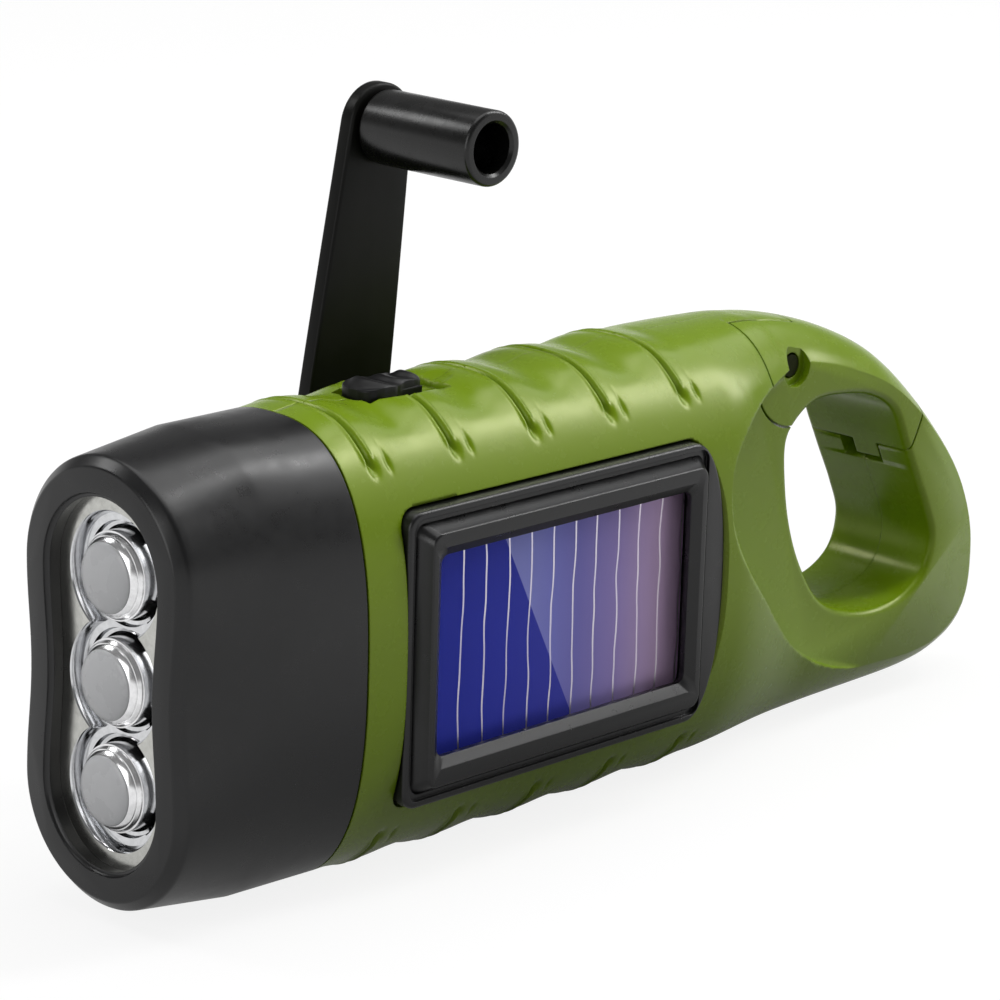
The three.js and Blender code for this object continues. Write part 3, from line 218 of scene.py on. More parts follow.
def closed_catmull(points, steps):
    """Points on a closed centripetal spline."""
    points = np.asarray(points, float)
    count = len(points)
    made = []
    for share in np.arange(steps) / steps:
        place = share * count
        index = int(place)
        t = place - index
        p0, p1, p2, p3 = (points[(index + shift) % count] for shift in (-1, 0, 1, 2))
        d0, d1, d2 = (math.sqrt(np.linalg.norm(b - a)) for a, b in ((p0, p1), (p1, p2), (p2, p3)))
        t1 = ((p1 - p0) / d0 - (p2 - p0) / (d0 + d1) + (p2 - p1) / d1) * d1
        t2 = ((p2 - p1) / d1 - (p3 - p1) / (d1 + d2) + (p3 - p2) / d2) * d1
        square = (3 * (p2 - p1) - 2 * t1 - t2) * t ** 2
        cubic = (2 * (p1 - p2) + t1 + t2) * t ** 3
        made.append(p1 + t1 * t + square + cubic)
    return np.array(made)


def grown(outline, distance):
    """An anticlockwise outline of [x, z] points, moved outward."""
    along = np.roll(outline, -1, axis=0) - np.roll(outline, 1, axis=0)
    along /= np.linalg.norm(along, axis=1, keepdims=True)
    return outline + distance * np.stack([along[:, 1], -along[:, 0]], axis=1)


def arc(centre, radius, start_degrees, end_degrees, steps=24):
    angles = np.radians(np.linspace(start_degrees, end_degrees, steps + 1))
    return np.stack([centre[0] + radius * np.cos(angles), centre[1] + radius * np.sin(angles)], axis=1)


def rounded_box(x0, x1, z0, z1, radius, steps=12):
    left, right, low, high = x0 + radius, x1 - radius, z0 + radius, z1 - radius
    corners = [(right, low, -90), (right, high, 0), (left, high, 90), (left, low, 180)]
    return np.concatenate([arc((x, z), radius, start, start + 90, steps) for x, z, start in corners])


def edge_steps(radius, steps):
    """A round edge from an end to a side, as each point's distance from the end and from the side."""
    angles = np.linspace(0, math.pi / 2, steps + 1)
    return [(radius * (1 - math.cos(a)), radius * (1 - math.sin(a))) for a in angles]


# Meshes
def weld(mesh, gap, turn_outward=False):
    shape = bmesh.new()
    shape.from_mesh(mesh)
    bmesh.ops.remove_doubles(shape, verts=shape.verts, dist=gap)
    if turn_outward:
        bmesh.ops.recalc_face_normals(shape, faces=shape.faces)
    shape.to_mesh(mesh)
    shape.free()


def linked(mesh):
    made = bpy.data.objects.new("piece", mesh)
    bpy.context.scene.collection.objects.link(made)
    return made


def mesh_object(points, faces):
    """A mesh object from points in the part's millimetres, with its faces turned outward."""
    mesh = bpy.data.meshes.new("piece")
    mesh.from_pydata(((points + ORIGIN) * MM).tolist(), [], faces)
    weld(mesh, POINT_GAP, True)
    return linked(mesh)


def loft(rings):
    """A closed skin over rings of equal count."""
    rings = np.asarray(rings, float)
    count, sides = rings.shape[:2]
    index = np.arange(count * sides).reshape(count, sides)
    here, above = index[:-1], index[1:]
    quads = np.stack([here, np.roll(here, -1, axis=1), np.roll(above, -1, axis=1), above], axis=-1)
    faces = quads.reshape(-1, 4).tolist() + [index[0, ::-1].tolist(), index[-1].tolist()]
    return mesh_object(rings.reshape(-1, 3), faces)


def flat_ring(outline, y):
    outline = np.asarray(outline, float)
    return np.stack([outline[:, 0], np.full(len(outline), y), outline[:, 1]], axis=1)


def slab(outline, y0, y1):
    """An outline of [x, z] points, drawn out along Y."""
    return loft([flat_ring(outline, y0), flat_ring(outline, y1)])


def block(x0, x1, y0, y1, z0, z1):
    return slab([(x0, z0), (x1, z0), (x1, z1), (x0, z1)], y0, y1)


def bar(x0, x1, half_width, z0, z1):
    return block(x0, x1, -half_width, half_width, z0, z1)


def turned(axis, points, across, sides=ROUND_SIDES):
    """A profile of [distance along the axis, radius] points, turned about an axis along X or Y."""
    angles = 2 * math.pi * np.arange(sides) / sides
    order = {"x": (0, 1, 2), "y": (1, 0, 2)}[axis]
    rings = np.zeros((len(points), sides, 3))
    for ring, (along, radius) in zip(rings, points):
        ring[:, order[0]] = along
        ring[:, order[1]] = across[0] + radius * np.cos(angles)
        ring[:, order[2]] = across[1] + radius * np.sin(angles)
    return loft(rings)


def rod(axis, radius, start, end, across, sides=ROUND_SIDES):
    return turned(axis, [(start, radius), (end, radius)], across, sides)


def drill(axis, radius, start, end, across):
    return rod(axis, radius, start, end, across, SMALL_SIDES)


def rounded_profile(start, end, radius, round_start, round_end):
    """A turned bar's profile with rounded edges at its two ends."""
    first = [(start + run, radius - fall) for run, fall in edge_steps(round_start, 6)]
    last = [(end - run, radius - fall) for run, fall in edge_steps(round_end, 6)[::-1]]
    return first + last


def combine(target, operation, *tools):
    """Joins, cuts or intersects a mesh with others, which are removed."""
    for tool in tools:
        step = target.modifiers.new("step", "BOOLEAN")
        step.operation = operation
        step.solver = "MANIFOLD"
        step.object = tool
    graph = bpy.context.evaluated_depsgraph_get()
    made = bpy.data.meshes.new_from_object(target.evaluated_get(graph))
    target.modifiers.clear()
    target.data = made
    for tool in tools:
        bpy.data.objects.remove(tool)
    return target


def cut(target, *tools):
    return combine(target, "DIFFERENCE", *tools)


def join(target, *tools):
    return combine(target, "UNION", *tools)


def common(target, *tools):
    return combine(target, "INTERSECT", *tools)


def copy_of(source):
    return linked(source.data.copy())


def node_copy(node):
    """A welded copy of a CAD node's mesh."""
    made = copy_of(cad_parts[node])
    weld(made.data, NODE_POINT_GAP)
    return made


# Camera, fitted to the photograph: its direction, its roll, and its place from the lamp face
CAMERA_AZIMUTH = math.radians(-46.515)
CAMERA_ELEVATION = math.radians(15.588)
CAMERA_ROLL = math.radians(1.781)
CAMERA_LENS = 145.3
CAMERA_SENSOR = 36
CAMERA_AIM_X = 1
CAMERA_RIGHT = 41.347
CAMERA_UP = 19.449
CAMERA_BACK = 423.774


def add_camera():
    back = Vector((math.sin(CAMERA_AZIMUTH) * math.cos(CAMERA_ELEVATION),
                   -math.cos(CAMERA_AZIMUTH) * math.cos(CAMERA_ELEVATION), math.sin(CAMERA_ELEVATION)))
    level = Vector((math.cos(CAMERA_AZIMUTH), math.sin(CAMERA_AZIMUTH), 0))
    upright = back.cross(level)
    right = math.cos(CAMERA_ROLL) * level + math.sin(CAMERA_ROLL) * upright
    up = math.cos(CAMERA_ROLL) * upright - math.sin(CAMERA_ROLL) * level
    place = Vector((CAMERA_AIM_X, 0, 0)) + CAMERA_RIGHT * right + CAMERA_UP * up + CAMERA_BACK * back
    camera = bpy.data.objects.new("camera", bpy.data.cameras.new("camera"))
    camera.data.lens = CAMERA_LENS
    camera.data.sensor_width = CAMERA_SENSOR
    turn = Matrix((right, up, back)).transposed().to_4x4()
    camera.matrix_world = Matrix.Translation((place + Vector(ORIGIN)) * MM) @ turn
    bpy.context.scene.collection.objects.link(camera)
    bpy.context.scene.camera = camera


add_camera()

# Side profile of the body, in shares of the length and of the half height
TOP_SHARES = [
    (0.168, 0.974), (0.414, 0.98), (0.641, 0.982), (0.697, 0.966), (0.738, 0.928), (0.779, 0.864),
    (0.821, 0.768), (0.85, 0.67), (0.877, 0.545), (0.906, 0.39), (0.937, 0.21), (0.956, 0.07),
    (0.975, -0.095), (0.991, -0.265), (1, -0.47),
]
BOTTOM_SHARES = [
    (1, -0.47), (0.9945, -0.613), (0.9766, -0.752), (0.957, -0.838), (0.926, -0.891), (0.899, -0.917),
    (0.855, -0.936), (0.766, -0.952), (0.662, -0.972), (0.42, -0.99), (0.168, -0.978),
]
PROFILE_STEPS = 240
top_profile = catmull(TOP_SHARES, PROFILE_STEPS) * (TOTAL_LENGTH, HALF_HEIGHT)
bottom_profile = catmull(BOTTOM_SHARES, PROFILE_STEPS)[::-1] * (TOTAL_LENGTH, HALF_HEIGHT)


def half_width_at(x):
    taper = smooth((x - LOOP_START) / (LOOP_LENGTH * LOOP_TAPER_SHARE))
    width = HALF_WIDTH + (LOOP_HALF_WIDTH - HALF_WIDTH) * taper
    nose = np.maximum(0, (x - (TOTAL_LENGTH - NOSE_LENGTH)) / NOSE_LENGTH)
    return width * np.sqrt(np.maximum(0, 1 - nose * nose))


turns = 2 * math.pi * (np.arange(RING_SIDES) + 0.5) / RING_SIDES


def super_point(side, half):
    """A superellipse's points at every turn, for arrays of half widths and half heights."""
    power = 2 / SECTION_POWER_SHARE
    c, s = np.cos(turns), np.sin(turns)
    return (np.multiply.outer(side, np.sign(c) * np.abs(c) ** power),
            np.multiply.outer(half, np.sign(s) * np.abs(s) ** power))


# Grip ribs: a swell round the top and the bottom with a groove on its crest, which ends in a scoop.
# A faint second line and a smaller scoop follow it.
GRIP_LOW_SHARE = 0.89
GRIP_HIGH_SHARE = 0.985
VALLEY_SHARE = 0.25
GROOVE_DEPTH = 0.48
GROOVE_HALF_WIDTH = 0.24
LIP_HEIGHT = 0.13
LIP_OFFSET = 0.6
LIP_HALF_WIDTH = 0.22
SCOOP_HEIGHT = 21.2
SCOOP_OFFSET = 0.25
SCOOP_DEPTH = 0.5
SCOOP_HALF_WIDTH = 0.55
SCOOP_HALF_HEIGHT = 0.75
SECOND_OFFSET = 2.5
SECOND_DEPTH = 0.06
SECOND_HALF_WIDTH = 0.2
SECOND_SCOOP_DEPTH = 0.22
SECOND_SCOOP_HALF_WIDTH = 0.32
SECOND_SCOOP_HALF_HEIGHT = 0.6
FADE_HEIGHT = 0.7
SECOND_FADE_HEIGHT = 3


def grip_swell(x, height_share):
    start = GRIP_FIRST + np.where(height_share < 0, GRIP_SHIFT_BELOW, 0)
    length = GRIP_PITCH * (GRIP_COUNT - 1)
    edge = GRIP_PITCH / 2
    inside = smooth((x - start + edge) / edge) * smooth((start + length + edge - x) / edge)
    turn = 2 * math.pi * (x - start) / GRIP_PITCH
    wave = np.cos(turn) - VALLEY_SHARE * np.cos(2 * turn)
    reach = smooth((np.abs(height_share) - GRIP_LOW_SHARE) / (GRIP_HIGH_SHARE - GRIP_LOW_SHARE))
    return GRIP_HEIGHT * wave * inside * reach


def bump(offset, half_width):
    return np.exp(-(offset / half_width) ** 2)


def groove_depth(x, z):
    """How far the grooves and scoops sink below the swell, negative where their lips rise."""
    depth = np.zeros_like(z)
    for side in (1, -1):
        height = z * side - SCOOP_HEIGHT
        kept = smooth(height / FADE_HEIGHT)
        second_kept = kept * (1 - smooth(height / SECOND_FADE_HEIGHT))
        for index in range(GRIP_COUNT):
            offset = x - GRIP_FIRST - GRIP_PITCH * index - (GRIP_SHIFT_BELOW if side < 0 else 0)
            second = offset - SECOND_OFFSET
            lips = bump(np.abs(offset) - LIP_OFFSET, LIP_HALF_WIDTH)
            depth += kept * (GROOVE_DEPTH * bump(offset, GROOVE_HALF_WIDTH) - LIP_HEIGHT * lips)
            depth += (SCOOP_DEPTH * bump(offset - SCOOP_OFFSET, SCOOP_HALF_WIDTH)
                      * bump(height, SCOOP_HALF_HEIGHT))
            depth += second_kept * SECOND_DEPTH * bump(second, SECOND_HALF_WIDTH)
            depth += (SECOND_SCOOP_DEPTH * bump(second, SECOND_SCOOP_HALF_WIDTH)
                      * bump(height, SECOND_SCOOP_HALF_HEIGHT))
    return depth


def section_rings(x, inset=0.0, side=None, ribbed=False):
    """Rings of the body's section at an array of stations."""
    x = np.atleast_1d(np.asarray(x, float))
    side = half_width_at(x) - inset if side is None else np.broadcast_to(side, x.shape)
    top = np.interp(x, top_profile[:, 0], top_profile[:, 1]) - inset
    bottom = np.interp(x, bottom_profile[:, 0], bottom_profile[:, 1]) + inset
    middle, half = (top + bottom) / 2, (top - bottom) / 2
    y, z = super_point(side, half)
    along = np.repeat(x[:, None], RING_SIDES, axis=1)
    if ribbed:
        z = z + grip_swell(along, z / half[:, None]) * np.sign(z)
    rings = np.stack([along, y, middle[:, None] + z], axis=-1)
    if ribbed:
        ahead = np.gradient(rings, axis=0)
        round_it = np.roll(rings, -1, axis=1) - np.roll(rings, 1, axis=1)
        normal = np.cross(round_it, ahead)
        normal /= np.linalg.norm(normal, axis=-1, keepdims=True) + 1e-12
        rings -= normal * groove_depth(along, rings[..., 2])[..., None]
    return rings


GRIP_END = GRIP_FIRST + GRIP_PITCH * (GRIP_COUNT - 0.5)
NOSE_START = TOTAL_LENGTH - NOSE_LENGTH
NOSE_STEPS = 28


def body_stations():
    grip_steps = round((GRIP_END - HEAD_LENGTH) / GRIP_STATION_STEP)
    tail_steps = round((NOSE_START - GRIP_END) / TAIL_STATION_STEP)
    grip = np.linspace(HEAD_LENGTH, GRIP_END, grip_steps + 1)
    tail = np.linspace(GRIP_END, NOSE_START, tail_steps + 1)[1:]
    nose = NOSE_START + NOSE_LENGTH * np.sin(np.linspace(0, math.pi / 2, NOSE_STEPS + 1)[1:-1])
    return np.concatenate([grip, tail, nose, [TOTAL_LENGTH - NOSE_TIP]])


# Loop: its opening and the recess of each side, in shares of the loop's length and of the half height
OPENING_SHARES = [
    (0.28, 0.425), (0.305, 0.5), (0.36, 0.57), (0.45, 0.572), (0.55, 0.53), (0.62, 0.44), (0.665, 0.26),
    (0.7, 0.11), (0.745, -0.08), (0.772, -0.24), (0.755, -0.39), (0.7, -0.48), (0.61, -0.517),
    (0.5, -0.485), (0.41, -0.39), (0.345, -0.2), (0.305, 0), (0.283, 0.22),
]
OPENING_STEPS = 200
OPENING_LIP = 0.9
FAR_FACE = LOOP_HALF_THICKNESS + OVERRUN
RECESS_EDGE_SHARES = [
    (0.2, 0.9), (0.1, 0.82), (0.025, 0.695), (-0.027, 0.545), (-0.045, 0.395), (-0.03, 0.19), (0.02, -0.02),
    (0.09, -0.225), (0.167, -0.41), (0.247, -0.556), (0.333, -0.684), (0.433, -0.797), (0.55, -0.865),
    (0.7, -0.87),
]
RECESS_FLOOR_SHARES = [
    (0.33, 0.79), (0.25, 0.706), (0.18, 0.64), (0.11, 0.5), (0.08, 0.34), (0.095, 0.13), (0.147, -0.094),
    (0.217, -0.323), (0.29, -0.511), (0.367, -0.639), (0.45, -0.726), (0.55, -0.782), (0.65, -0.8),
    (0.75, -0.8),
]
RECESS_EDGE_STEPS = 120
RECESS_STEPS = 24


def loop_places(shares):
    return np.asarray(shares, float) * (LOOP_LENGTH, HALF_HEIGHT) + (LOOP_START, 0)


def opening():
    outline = closed_catmull(loop_places(OPENING_SHARES), OPENING_STEPS)[::-1]
    near = [(-FAR_FACE, OPENING_LIP)]
    near += [(run - LOOP_HALF_THICKNESS, fall) for run, fall in edge_steps(OPENING_LIP, 8)]
    stations = near + [(-y, extra) for y, extra in near[::-1]]
    return loft([flat_ring(grown(outline, extra), y) for y, extra in stations])


def recess(side):
    edge = catmull(loop_places(RECESS_EDGE_SHARES), RECESS_EDGE_STEPS)
    floor = catmull(loop_places(RECESS_FLOOR_SHARES), RECESS_EDGE_STEPS)
    far = TOTAL_LENGTH + 2 * OVERRUN
    corners = np.array([(far, floor[-1][1]), (far, HIGH), (floor[0][0], HIGH)])

    def ring(share, y):
        return flat_ring(np.concatenate([edge + (floor - edge) * share, corners]), side * y)
    sunk = HALF_WIDTH - LOOP_HALF_THICKNESS
    shares = np.linspace(0, 1, RECESS_STEPS + 1)
    return loft([ring(0, FAR), *[ring(share, HALF_WIDTH - sunk * smooth(share)) for share in shares]])


# Gate of the loop, with a hook that ends in a pocket of the loop
PIN = (PIN_X, PIN_Z)
TAB_ROOT = GATE_REAR_REACH - TAB_RISE
TAB_TIP = GATE_REAR_REACH + TAB_DEPTH
HOOK_TIP = TAB_TIP - 0.6
HOOK_END_DEGREES = TAB_END_DEGREES + 2
HOOK_RIGHT = 0.9


def gate_outline(extra):
    front, rear = GATE_FRONT_REACH + extra, GATE_REAR_REACH + extra
    return np.concatenate([
        arc(PIN, front, PIVOT_ARC_DEGREES, -180, ARC_STEPS), [(PIN_X - front, HIGH), (PIN_X + rear, HIGH)],
        arc(PIN, rear, 0, REAR_ARC_DEGREES, ARC_STEPS),
    ])[::-1]


def sector(inner, outer, start_degrees, end_degrees):
    return np.concatenate([arc(PIN, outer, start_degrees, end_degrees),
                           arc(PIN, inner, end_degrees, start_degrees)])[::-1]


def tongue_outline(extra, back):
    reach = TONGUE_REACH + extra
    return np.concatenate([
        [(PIN_X - back, PIN_Z - reach)], arc(PIN, reach, -90, 0),
        [(PIN_X + reach, HIGH), (PIN_X - back, HIGH)],
    ])


def pin_cuts():
    hole = drill("y", PIN_RADIUS + RUNNING, -HALF_WIDTH, HALF_WIDTH, PIN)
    seat = LOOP_HALF_THICKNESS - SINK_DEPTH
    return [hole, *[drill("y", SINK_RADIUS, side * seat, side * FAR_FACE, PIN) for side in (-1, 1)]]


skin = cut(loft(section_rings(body_stations(), ribbed=True)), recess(-1), recess(1), opening())


def make_gate():
    body = common(copy_of(skin), slab(gate_outline(0), -FAR, FAR))
    half = TONGUE_HALF_WIDTH + FIT
    reach = GATE_FRONT_REACH + OVERRUN
    slot = slab(tongue_outline(FIT, reach), -half, half)
    room = slab(np.concatenate([
        [PIN, (PIN_X - reach, PIN_Z), (PIN_X - reach, PIN_Z - reach)],
        arc(PIN, reach, PIVOT_ARC_DEGREES, SWING_ROOM_DEGREES, 4),
    ]), -half, half)
    hook = slab(sector(TAB_ROOT, HOOK_TIP, TAB_TOP_DEGREES, HOOK_END_DEGREES), -TAB_HALF_WIDTH, HOOK_RIGHT)
    join(body, common(hook, copy_of(skin)))
    return cut(body, slot, room, *pin_cuts())


# Solar panel: its frame has a rim, a channel inside the rim, and a raised border with sloping sides
BULGE_STEPS = 64
BULGE_START = 76.6
BULGE_REACH = 5.9
BULGE_POWER_SHARE = 2.2
CORNER_STEPS = 8
FRAME_EDGE = 1.4
FRAME_SLOPE = 0.95
FRAME_REAR = 78.4
FRAME_CORNER = 1.4
FRAME_ROUND = 0.25
CHANNEL_WIDTH = 0.6
CHANNEL_DEPTH = 0.5
RIM_LEFT = 0.35
RIM_ROUND = 0.4
WINDOW_BEVEL = 1.1
WINDOW_BEVEL_DEPTH = 0.8


def solar_outline(extra):
    angles = np.linspace(-math.pi / 2, math.pi / 2, BULGE_STEPS + 1)
    power = 2 / BULGE_POWER_SHARE
    bulge = np.stack([BULGE_START + BULGE_REACH * np.abs(np.cos(angles)) ** power,
                      SOLAR_HALF_HEIGHT * np.sign(angles) * np.abs(np.sin(angles)) ** power], axis=1)
    x, z = SOLAR_FRONT + SOLAR_CORNER, SOLAR_HALF_HEIGHT - SOLAR_CORNER
    corners = [arc(place, SOLAR_CORNER, start, start + 90, CORNER_STEPS)
               for place, start in (((x, z), 90), ((x, -z), 180))]
    return grown(np.concatenate([bulge, *corners]), extra) - (0, SOLAR_DROP)


def box_ring(x0, x1, middle, half, corner, y):
    return flat_ring(rounded_box(x0, x1, middle - half, middle + half, corner), y)


def window_ring(inset, y):
    return box_ring(WINDOW_FRONT + inset, WINDOW_FRONT + WINDOW_LENGTH - inset, WINDOW_RISE - SOLAR_DROP,
                    WINDOW_HALF_HEIGHT - inset, WINDOW_CORNER, y)


def frame_ring(inset, y):
    return box_ring(SOLAR_FRONT + FRAME_EDGE + inset, FRAME_REAR - inset, -SOLAR_DROP,
                    SOLAR_HALF_HEIGHT - FRAME_EDGE - inset, FRAME_CORNER, y)


def make_bezel():
    channel_floor = -SOLAR_RIM + CHANNEL_DEPTH
    rim = [flat_ring(solar_outline(-run), -SOLAR_RIM + fall) for run, fall in edge_steps(RIM_ROUND, 5)]
    body = loft([flat_ring(solar_outline(0), -SOLAR_FLOOR - FIT), *rim])
    limit = slab(solar_outline(-RIM_LEFT), -FAR, 0)
    channel = loft([frame_ring(-CHANNEL_WIDTH, y) for y in (-SOLAR_RIM - OVERRUN, channel_floor)])
    raised = loft([
        frame_ring(0, -SOLAR_FLOOR - FIT), frame_ring(0, channel_floor),
        *[frame_ring(FRAME_SLOPE + run, -SOLAR_FACE + fall) for run, fall in edge_steps(FRAME_ROUND, 5)],
    ])
    common(channel, copy_of(limit))
    common(raised, limit)
    window = loft([
        window_ring(-WINDOW_BEVEL, -SOLAR_FACE - OVERRUN), window_ring(-WINDOW_BEVEL, -SOLAR_FACE),
        window_ring(0, -SOLAR_FACE + WINDOW_BEVEL_DEPTH), window_ring(0, -SOLAR_FLOOR),
    ])
    seat_depths = (SOLAR_DEPTH - SOLAR_FACE, OVERRUN - SOLAR_FLOOR)
    seat = loft([window_ring(-COVER_MARGIN - FIT, y) for y in seat_depths])
    return cut(join(cut(body, channel), raised), window, seat)


# Housing: the CAD shells give the inside, and a fine skin gives the outside
SLIDER_TOP = HALF_HEIGHT + SLIDER_PROUD
SLIDER_BOTTOM = SLIDER_TOP - SLIDER_HEIGHT
SLIDER_REAR = SLIDER_FRONT + SLIDER_LENGTH
SLIDER_MIDDLE = SLIDER_FRONT + SLIDER_LENGTH / 2
STEM_FRONT = SLIDER_MIDDLE - STEM_LENGTH / 2
STEM_REAR = STEM_FRONT + STEM_LENGTH
DIMPLE_MIDDLE = SLIDER_MIDDLE + SLIDER_TRAVEL / 2
DIMPLE_FLOOR = SLIDER_BOTTOM - FIT
DIMPLE_STEPS = 40
CAVITY_FULL = 74
CAVITY_TAPER = 81
CAVITY_REAR = 88
CAVITY_THIN = 6.1
PAD_FACE = HALF_WIDTH + HUB_STAND_OFF - FIT
PAD_DEPTH = 5
SCREW_SEAT = SCREW_HEAD_TOP - SCREW_HEAD_THICKNESS - FIT


def cavity(inset):
    """The hollow of the grip. A larger inset makes it smaller."""
    full = [section_rings(x, inset) for x in (
        HEAD_LENGTH - OVERRUN, HEAD_LENGTH + WALL + NECK_WALL, (HEAD_LENGTH + CAVITY_FULL) / 2, CAVITY_FULL)]
    left = WALL - inset
    thin = [section_rings(x, inset, CAVITY_THIN + left) for x in (CAVITY_TAPER, CAVITY_REAR + left)]
    return loft(np.concatenate(full + thin))


def dimple():
    height = DIMPLE_DEPTH / DIMPLE_SPHERE_SHARE
    spread = math.sqrt(1 - (1 - DIMPLE_SPHERE_SHARE) ** 2)
    latitudes = np.linspace(-math.pi / 2, math.pi / 2, DIMPLE_STEPS)[1:-1]
    angles = 2 * math.pi * np.arange(ROUND_SIDES) / ROUND_SIDES
    return loft([np.stack([
        DIMPLE_MIDDLE + DIMPLE_HALF_LENGTH / spread * math.cos(latitude) * np.cos(angles),
        DIMPLE_HALF_WIDTH / spread * math.cos(latitude) * np.sin(angles),
        np.full(ROUND_SIDES, DIMPLE_FLOOR + height + height * math.sin(latitude)),
    ], axis=1) for latitude in latitudes])


def standing_block():
    """What lies below the flats that the light stands on."""
    middle_rib = GRIP_FIRST + GRIP_SHIFT_BELOW + GRIP_PITCH * (GRIP_COUNT - 1) / 2
    bottom = np.interp(middle_rib, bottom_profile[:, 0], bottom_profile[:, 1])
    rest = bottom - GRIP_HEIGHT + FLAT_DEPTH
    return bar(-OVERRUN, TOTAL_LENGTH + OVERRUN, HALF_WIDTH, rest - HALF_HEIGHT, rest)


def make_shell(node, side):
    tall = 2 * HALF_HEIGHT
    outside = cut(copy_of(skin), cavity(WALL), slab(gate_outline(FIT), -FAR, FAR))
    neck_room = bar(NECK_FRONT - OVERRUN, HEAD_LENGTH + FIT, FAR, -tall, tall)
    inside = common(node_copy(node), join(cavity(WALL / 2), neck_room))
    tongue = slab(tongue_outline(0, GATE_FRONT_REACH + 2 * FIT), -TONGUE_HALF_WIDTH, TONGUE_HALF_WIDTH)
    join(outside, common(tongue, copy_of(skin)))
    across = sorted((side * SEAM_GAP, side * 2 * HALF_WIDTH))
    common(outside, block(-OVERRUN, TOTAL_LENGTH + OVERRUN, *across, -tall, tall))
    join(outside, inside)
    pocket = slab(sector(TAB_ROOT - FIT, TAB_TIP + FIT, TAB_TOP_DEGREES, POCKET_END_DEGREES),
                  -TAB_HALF_WIDTH - FIT, TAB_HALF_WIDTH + FIT)
    slider_way = bar(SLIDER_FRONT - FIT, SLIDER_REAR + SLIDER_TRAVEL + FIT, SLIDER_HALF_WIDTH + FIT,
                     DIMPLE_FLOOR, HIGH)
    stem_slot = bar(STEM_FRONT - FIT, STEM_REAR + SLIDER_TRAVEL + FIT, STEM_HALF_WIDTH + FIT,
                    DIMPLE_FLOOR - OVERRUN, HIGH)
    cuts = [pocket, slider_way, stem_slot, dimple(), standing_block(), *pin_cuts()]
    if side < 0:
        cuts.append(slab(solar_outline(FIT), -FAR, -SOLAR_FLOOR))
    else:
        hub = (HUB_X, HUB_Z)
        join(outside, rod("y", PAD_RADIUS, PAD_FACE - PAD_DEPTH, PAD_FACE, hub))
        cuts.append(rod("y", SPINDLE_RADIUS + RUNNING, HALF_WIDTH / 2, FAR, hub))
        cuts += [drill("y", SCREW_HEAD_RADIUS + FIT, SCREW_SEAT, FAR, place) for place in SCREW_PLACES]
    return cut(outside, *cuts)


# Head cover. Its rim's profile is [distance from the face, inset], down to the full size.
RIM_PROFILE = [
    (0, 1.35), (0.05, 1.16), (0.16, 1.03), (0.92, 0.25), (1.06, 0.13), (1.25, 0.04), (RIM_RADIUS, 0),
]
WINDOW_EDGE_BEVEL = 0.5
FACE_SEARCH_STEPS = 30
HEAD_STEPS = 15
BEVEL_STEPS = 13
HOLLOW_STEPS = 5
REFLECTOR_X = RECESS_DEPTH + FIT


def face_half_width(z, inset):
    lobe_height = FACE_HALF_HEIGHT - LOBE_RADIUS
    height = np.abs(z)
    rise = (1 - np.cos(math.pi * np.minimum(height, lobe_height) / lobe_height)) / 2
    radius = LOBE_RADIUS - inset
    up = height - lobe_height
    waist = WAIST_HALF_WIDTH + (LOBE_RADIUS - WAIST_HALF_WIDTH) * rise - inset
    lobe = np.where(up < radius, np.sqrt(np.maximum(0, radius ** 2 - up ** 2)), 0)
    return np.where(height < lobe_height, waist, lobe)


def face_points(y, z, inset):
    """Where rays from the middle through given points meet the outline of the lamp face."""
    inner = np.zeros_like(y)
    outer = 2 * FACE_HALF_HEIGHT / np.hypot(y, z)
    for _ in range(FACE_SEARCH_STEPS):
        middle = (inner + outer) / 2
        is_inside = np.abs(y * middle) < face_half_width(z * middle, inset)
        inner = np.where(is_inside, middle, inner)
        outer = np.where(is_inside, outer, middle)
    return y * inner, z * inner


def head_ring(x, inset):
    to_crease = np.clip((x - RIM_RADIUS) / (CREASE_X - RIM_RADIUS), 0, 1)
    to_seam = np.clip((x - CREASE_X) / (HEAD_LENGTH - CREASE_X), 0, 1)
    seam = section_rings(HEAD_LENGTH, inset)[0]
    crease_y, crease_z = super_point(CREASE_HALF_WIDTH - inset, CREASE_HALF_HEIGHT - inset)
    face_y, face_z = face_points(crease_y, crease_z, inset)
    y = face_y + (crease_y - face_y) * to_crease
    z = face_z + (crease_z - face_z) * to_crease
    y = y + (seam[:, 1] - y) * to_seam
    z = z + (seam[:, 2] - z) * to_seam
    return np.stack([np.full_like(y, x), y, z], axis=1)


def make_head():
    angles = np.linspace(0, math.pi / 2, BEVEL_STEPS)
    bevel = WINDOW_EDGE_BEVEL
    sides = [*np.linspace(RIM_RADIUS, CREASE_X, HEAD_STEPS)[1:],
             (CREASE_X + HEAD_LENGTH) / 2, HEAD_LENGTH - FIT]
    outer = loft([head_ring(x, inset) for x, inset in [*RIM_PROFILE, *[(x, 0) for x in sides]]])
    window = loft([
        head_ring(-OVERRUN, RIM_WIDTH - bevel),
        *[head_ring(bevel * math.sin(a), RIM_WIDTH - bevel * math.cos(a)) for a in angles],
        head_ring(RECESS_DEPTH + OVERRUN, RIM_WIDTH),
    ])
    depths = [*np.linspace(REFLECTOR_X - SEAM_GAP, CREASE_X, HOLLOW_STEPS),
              HEAD_LENGTH, HEAD_LENGTH + OVERRUN]
    return cut(outer, window, loft([head_ring(x, WALL) for x in depths]))


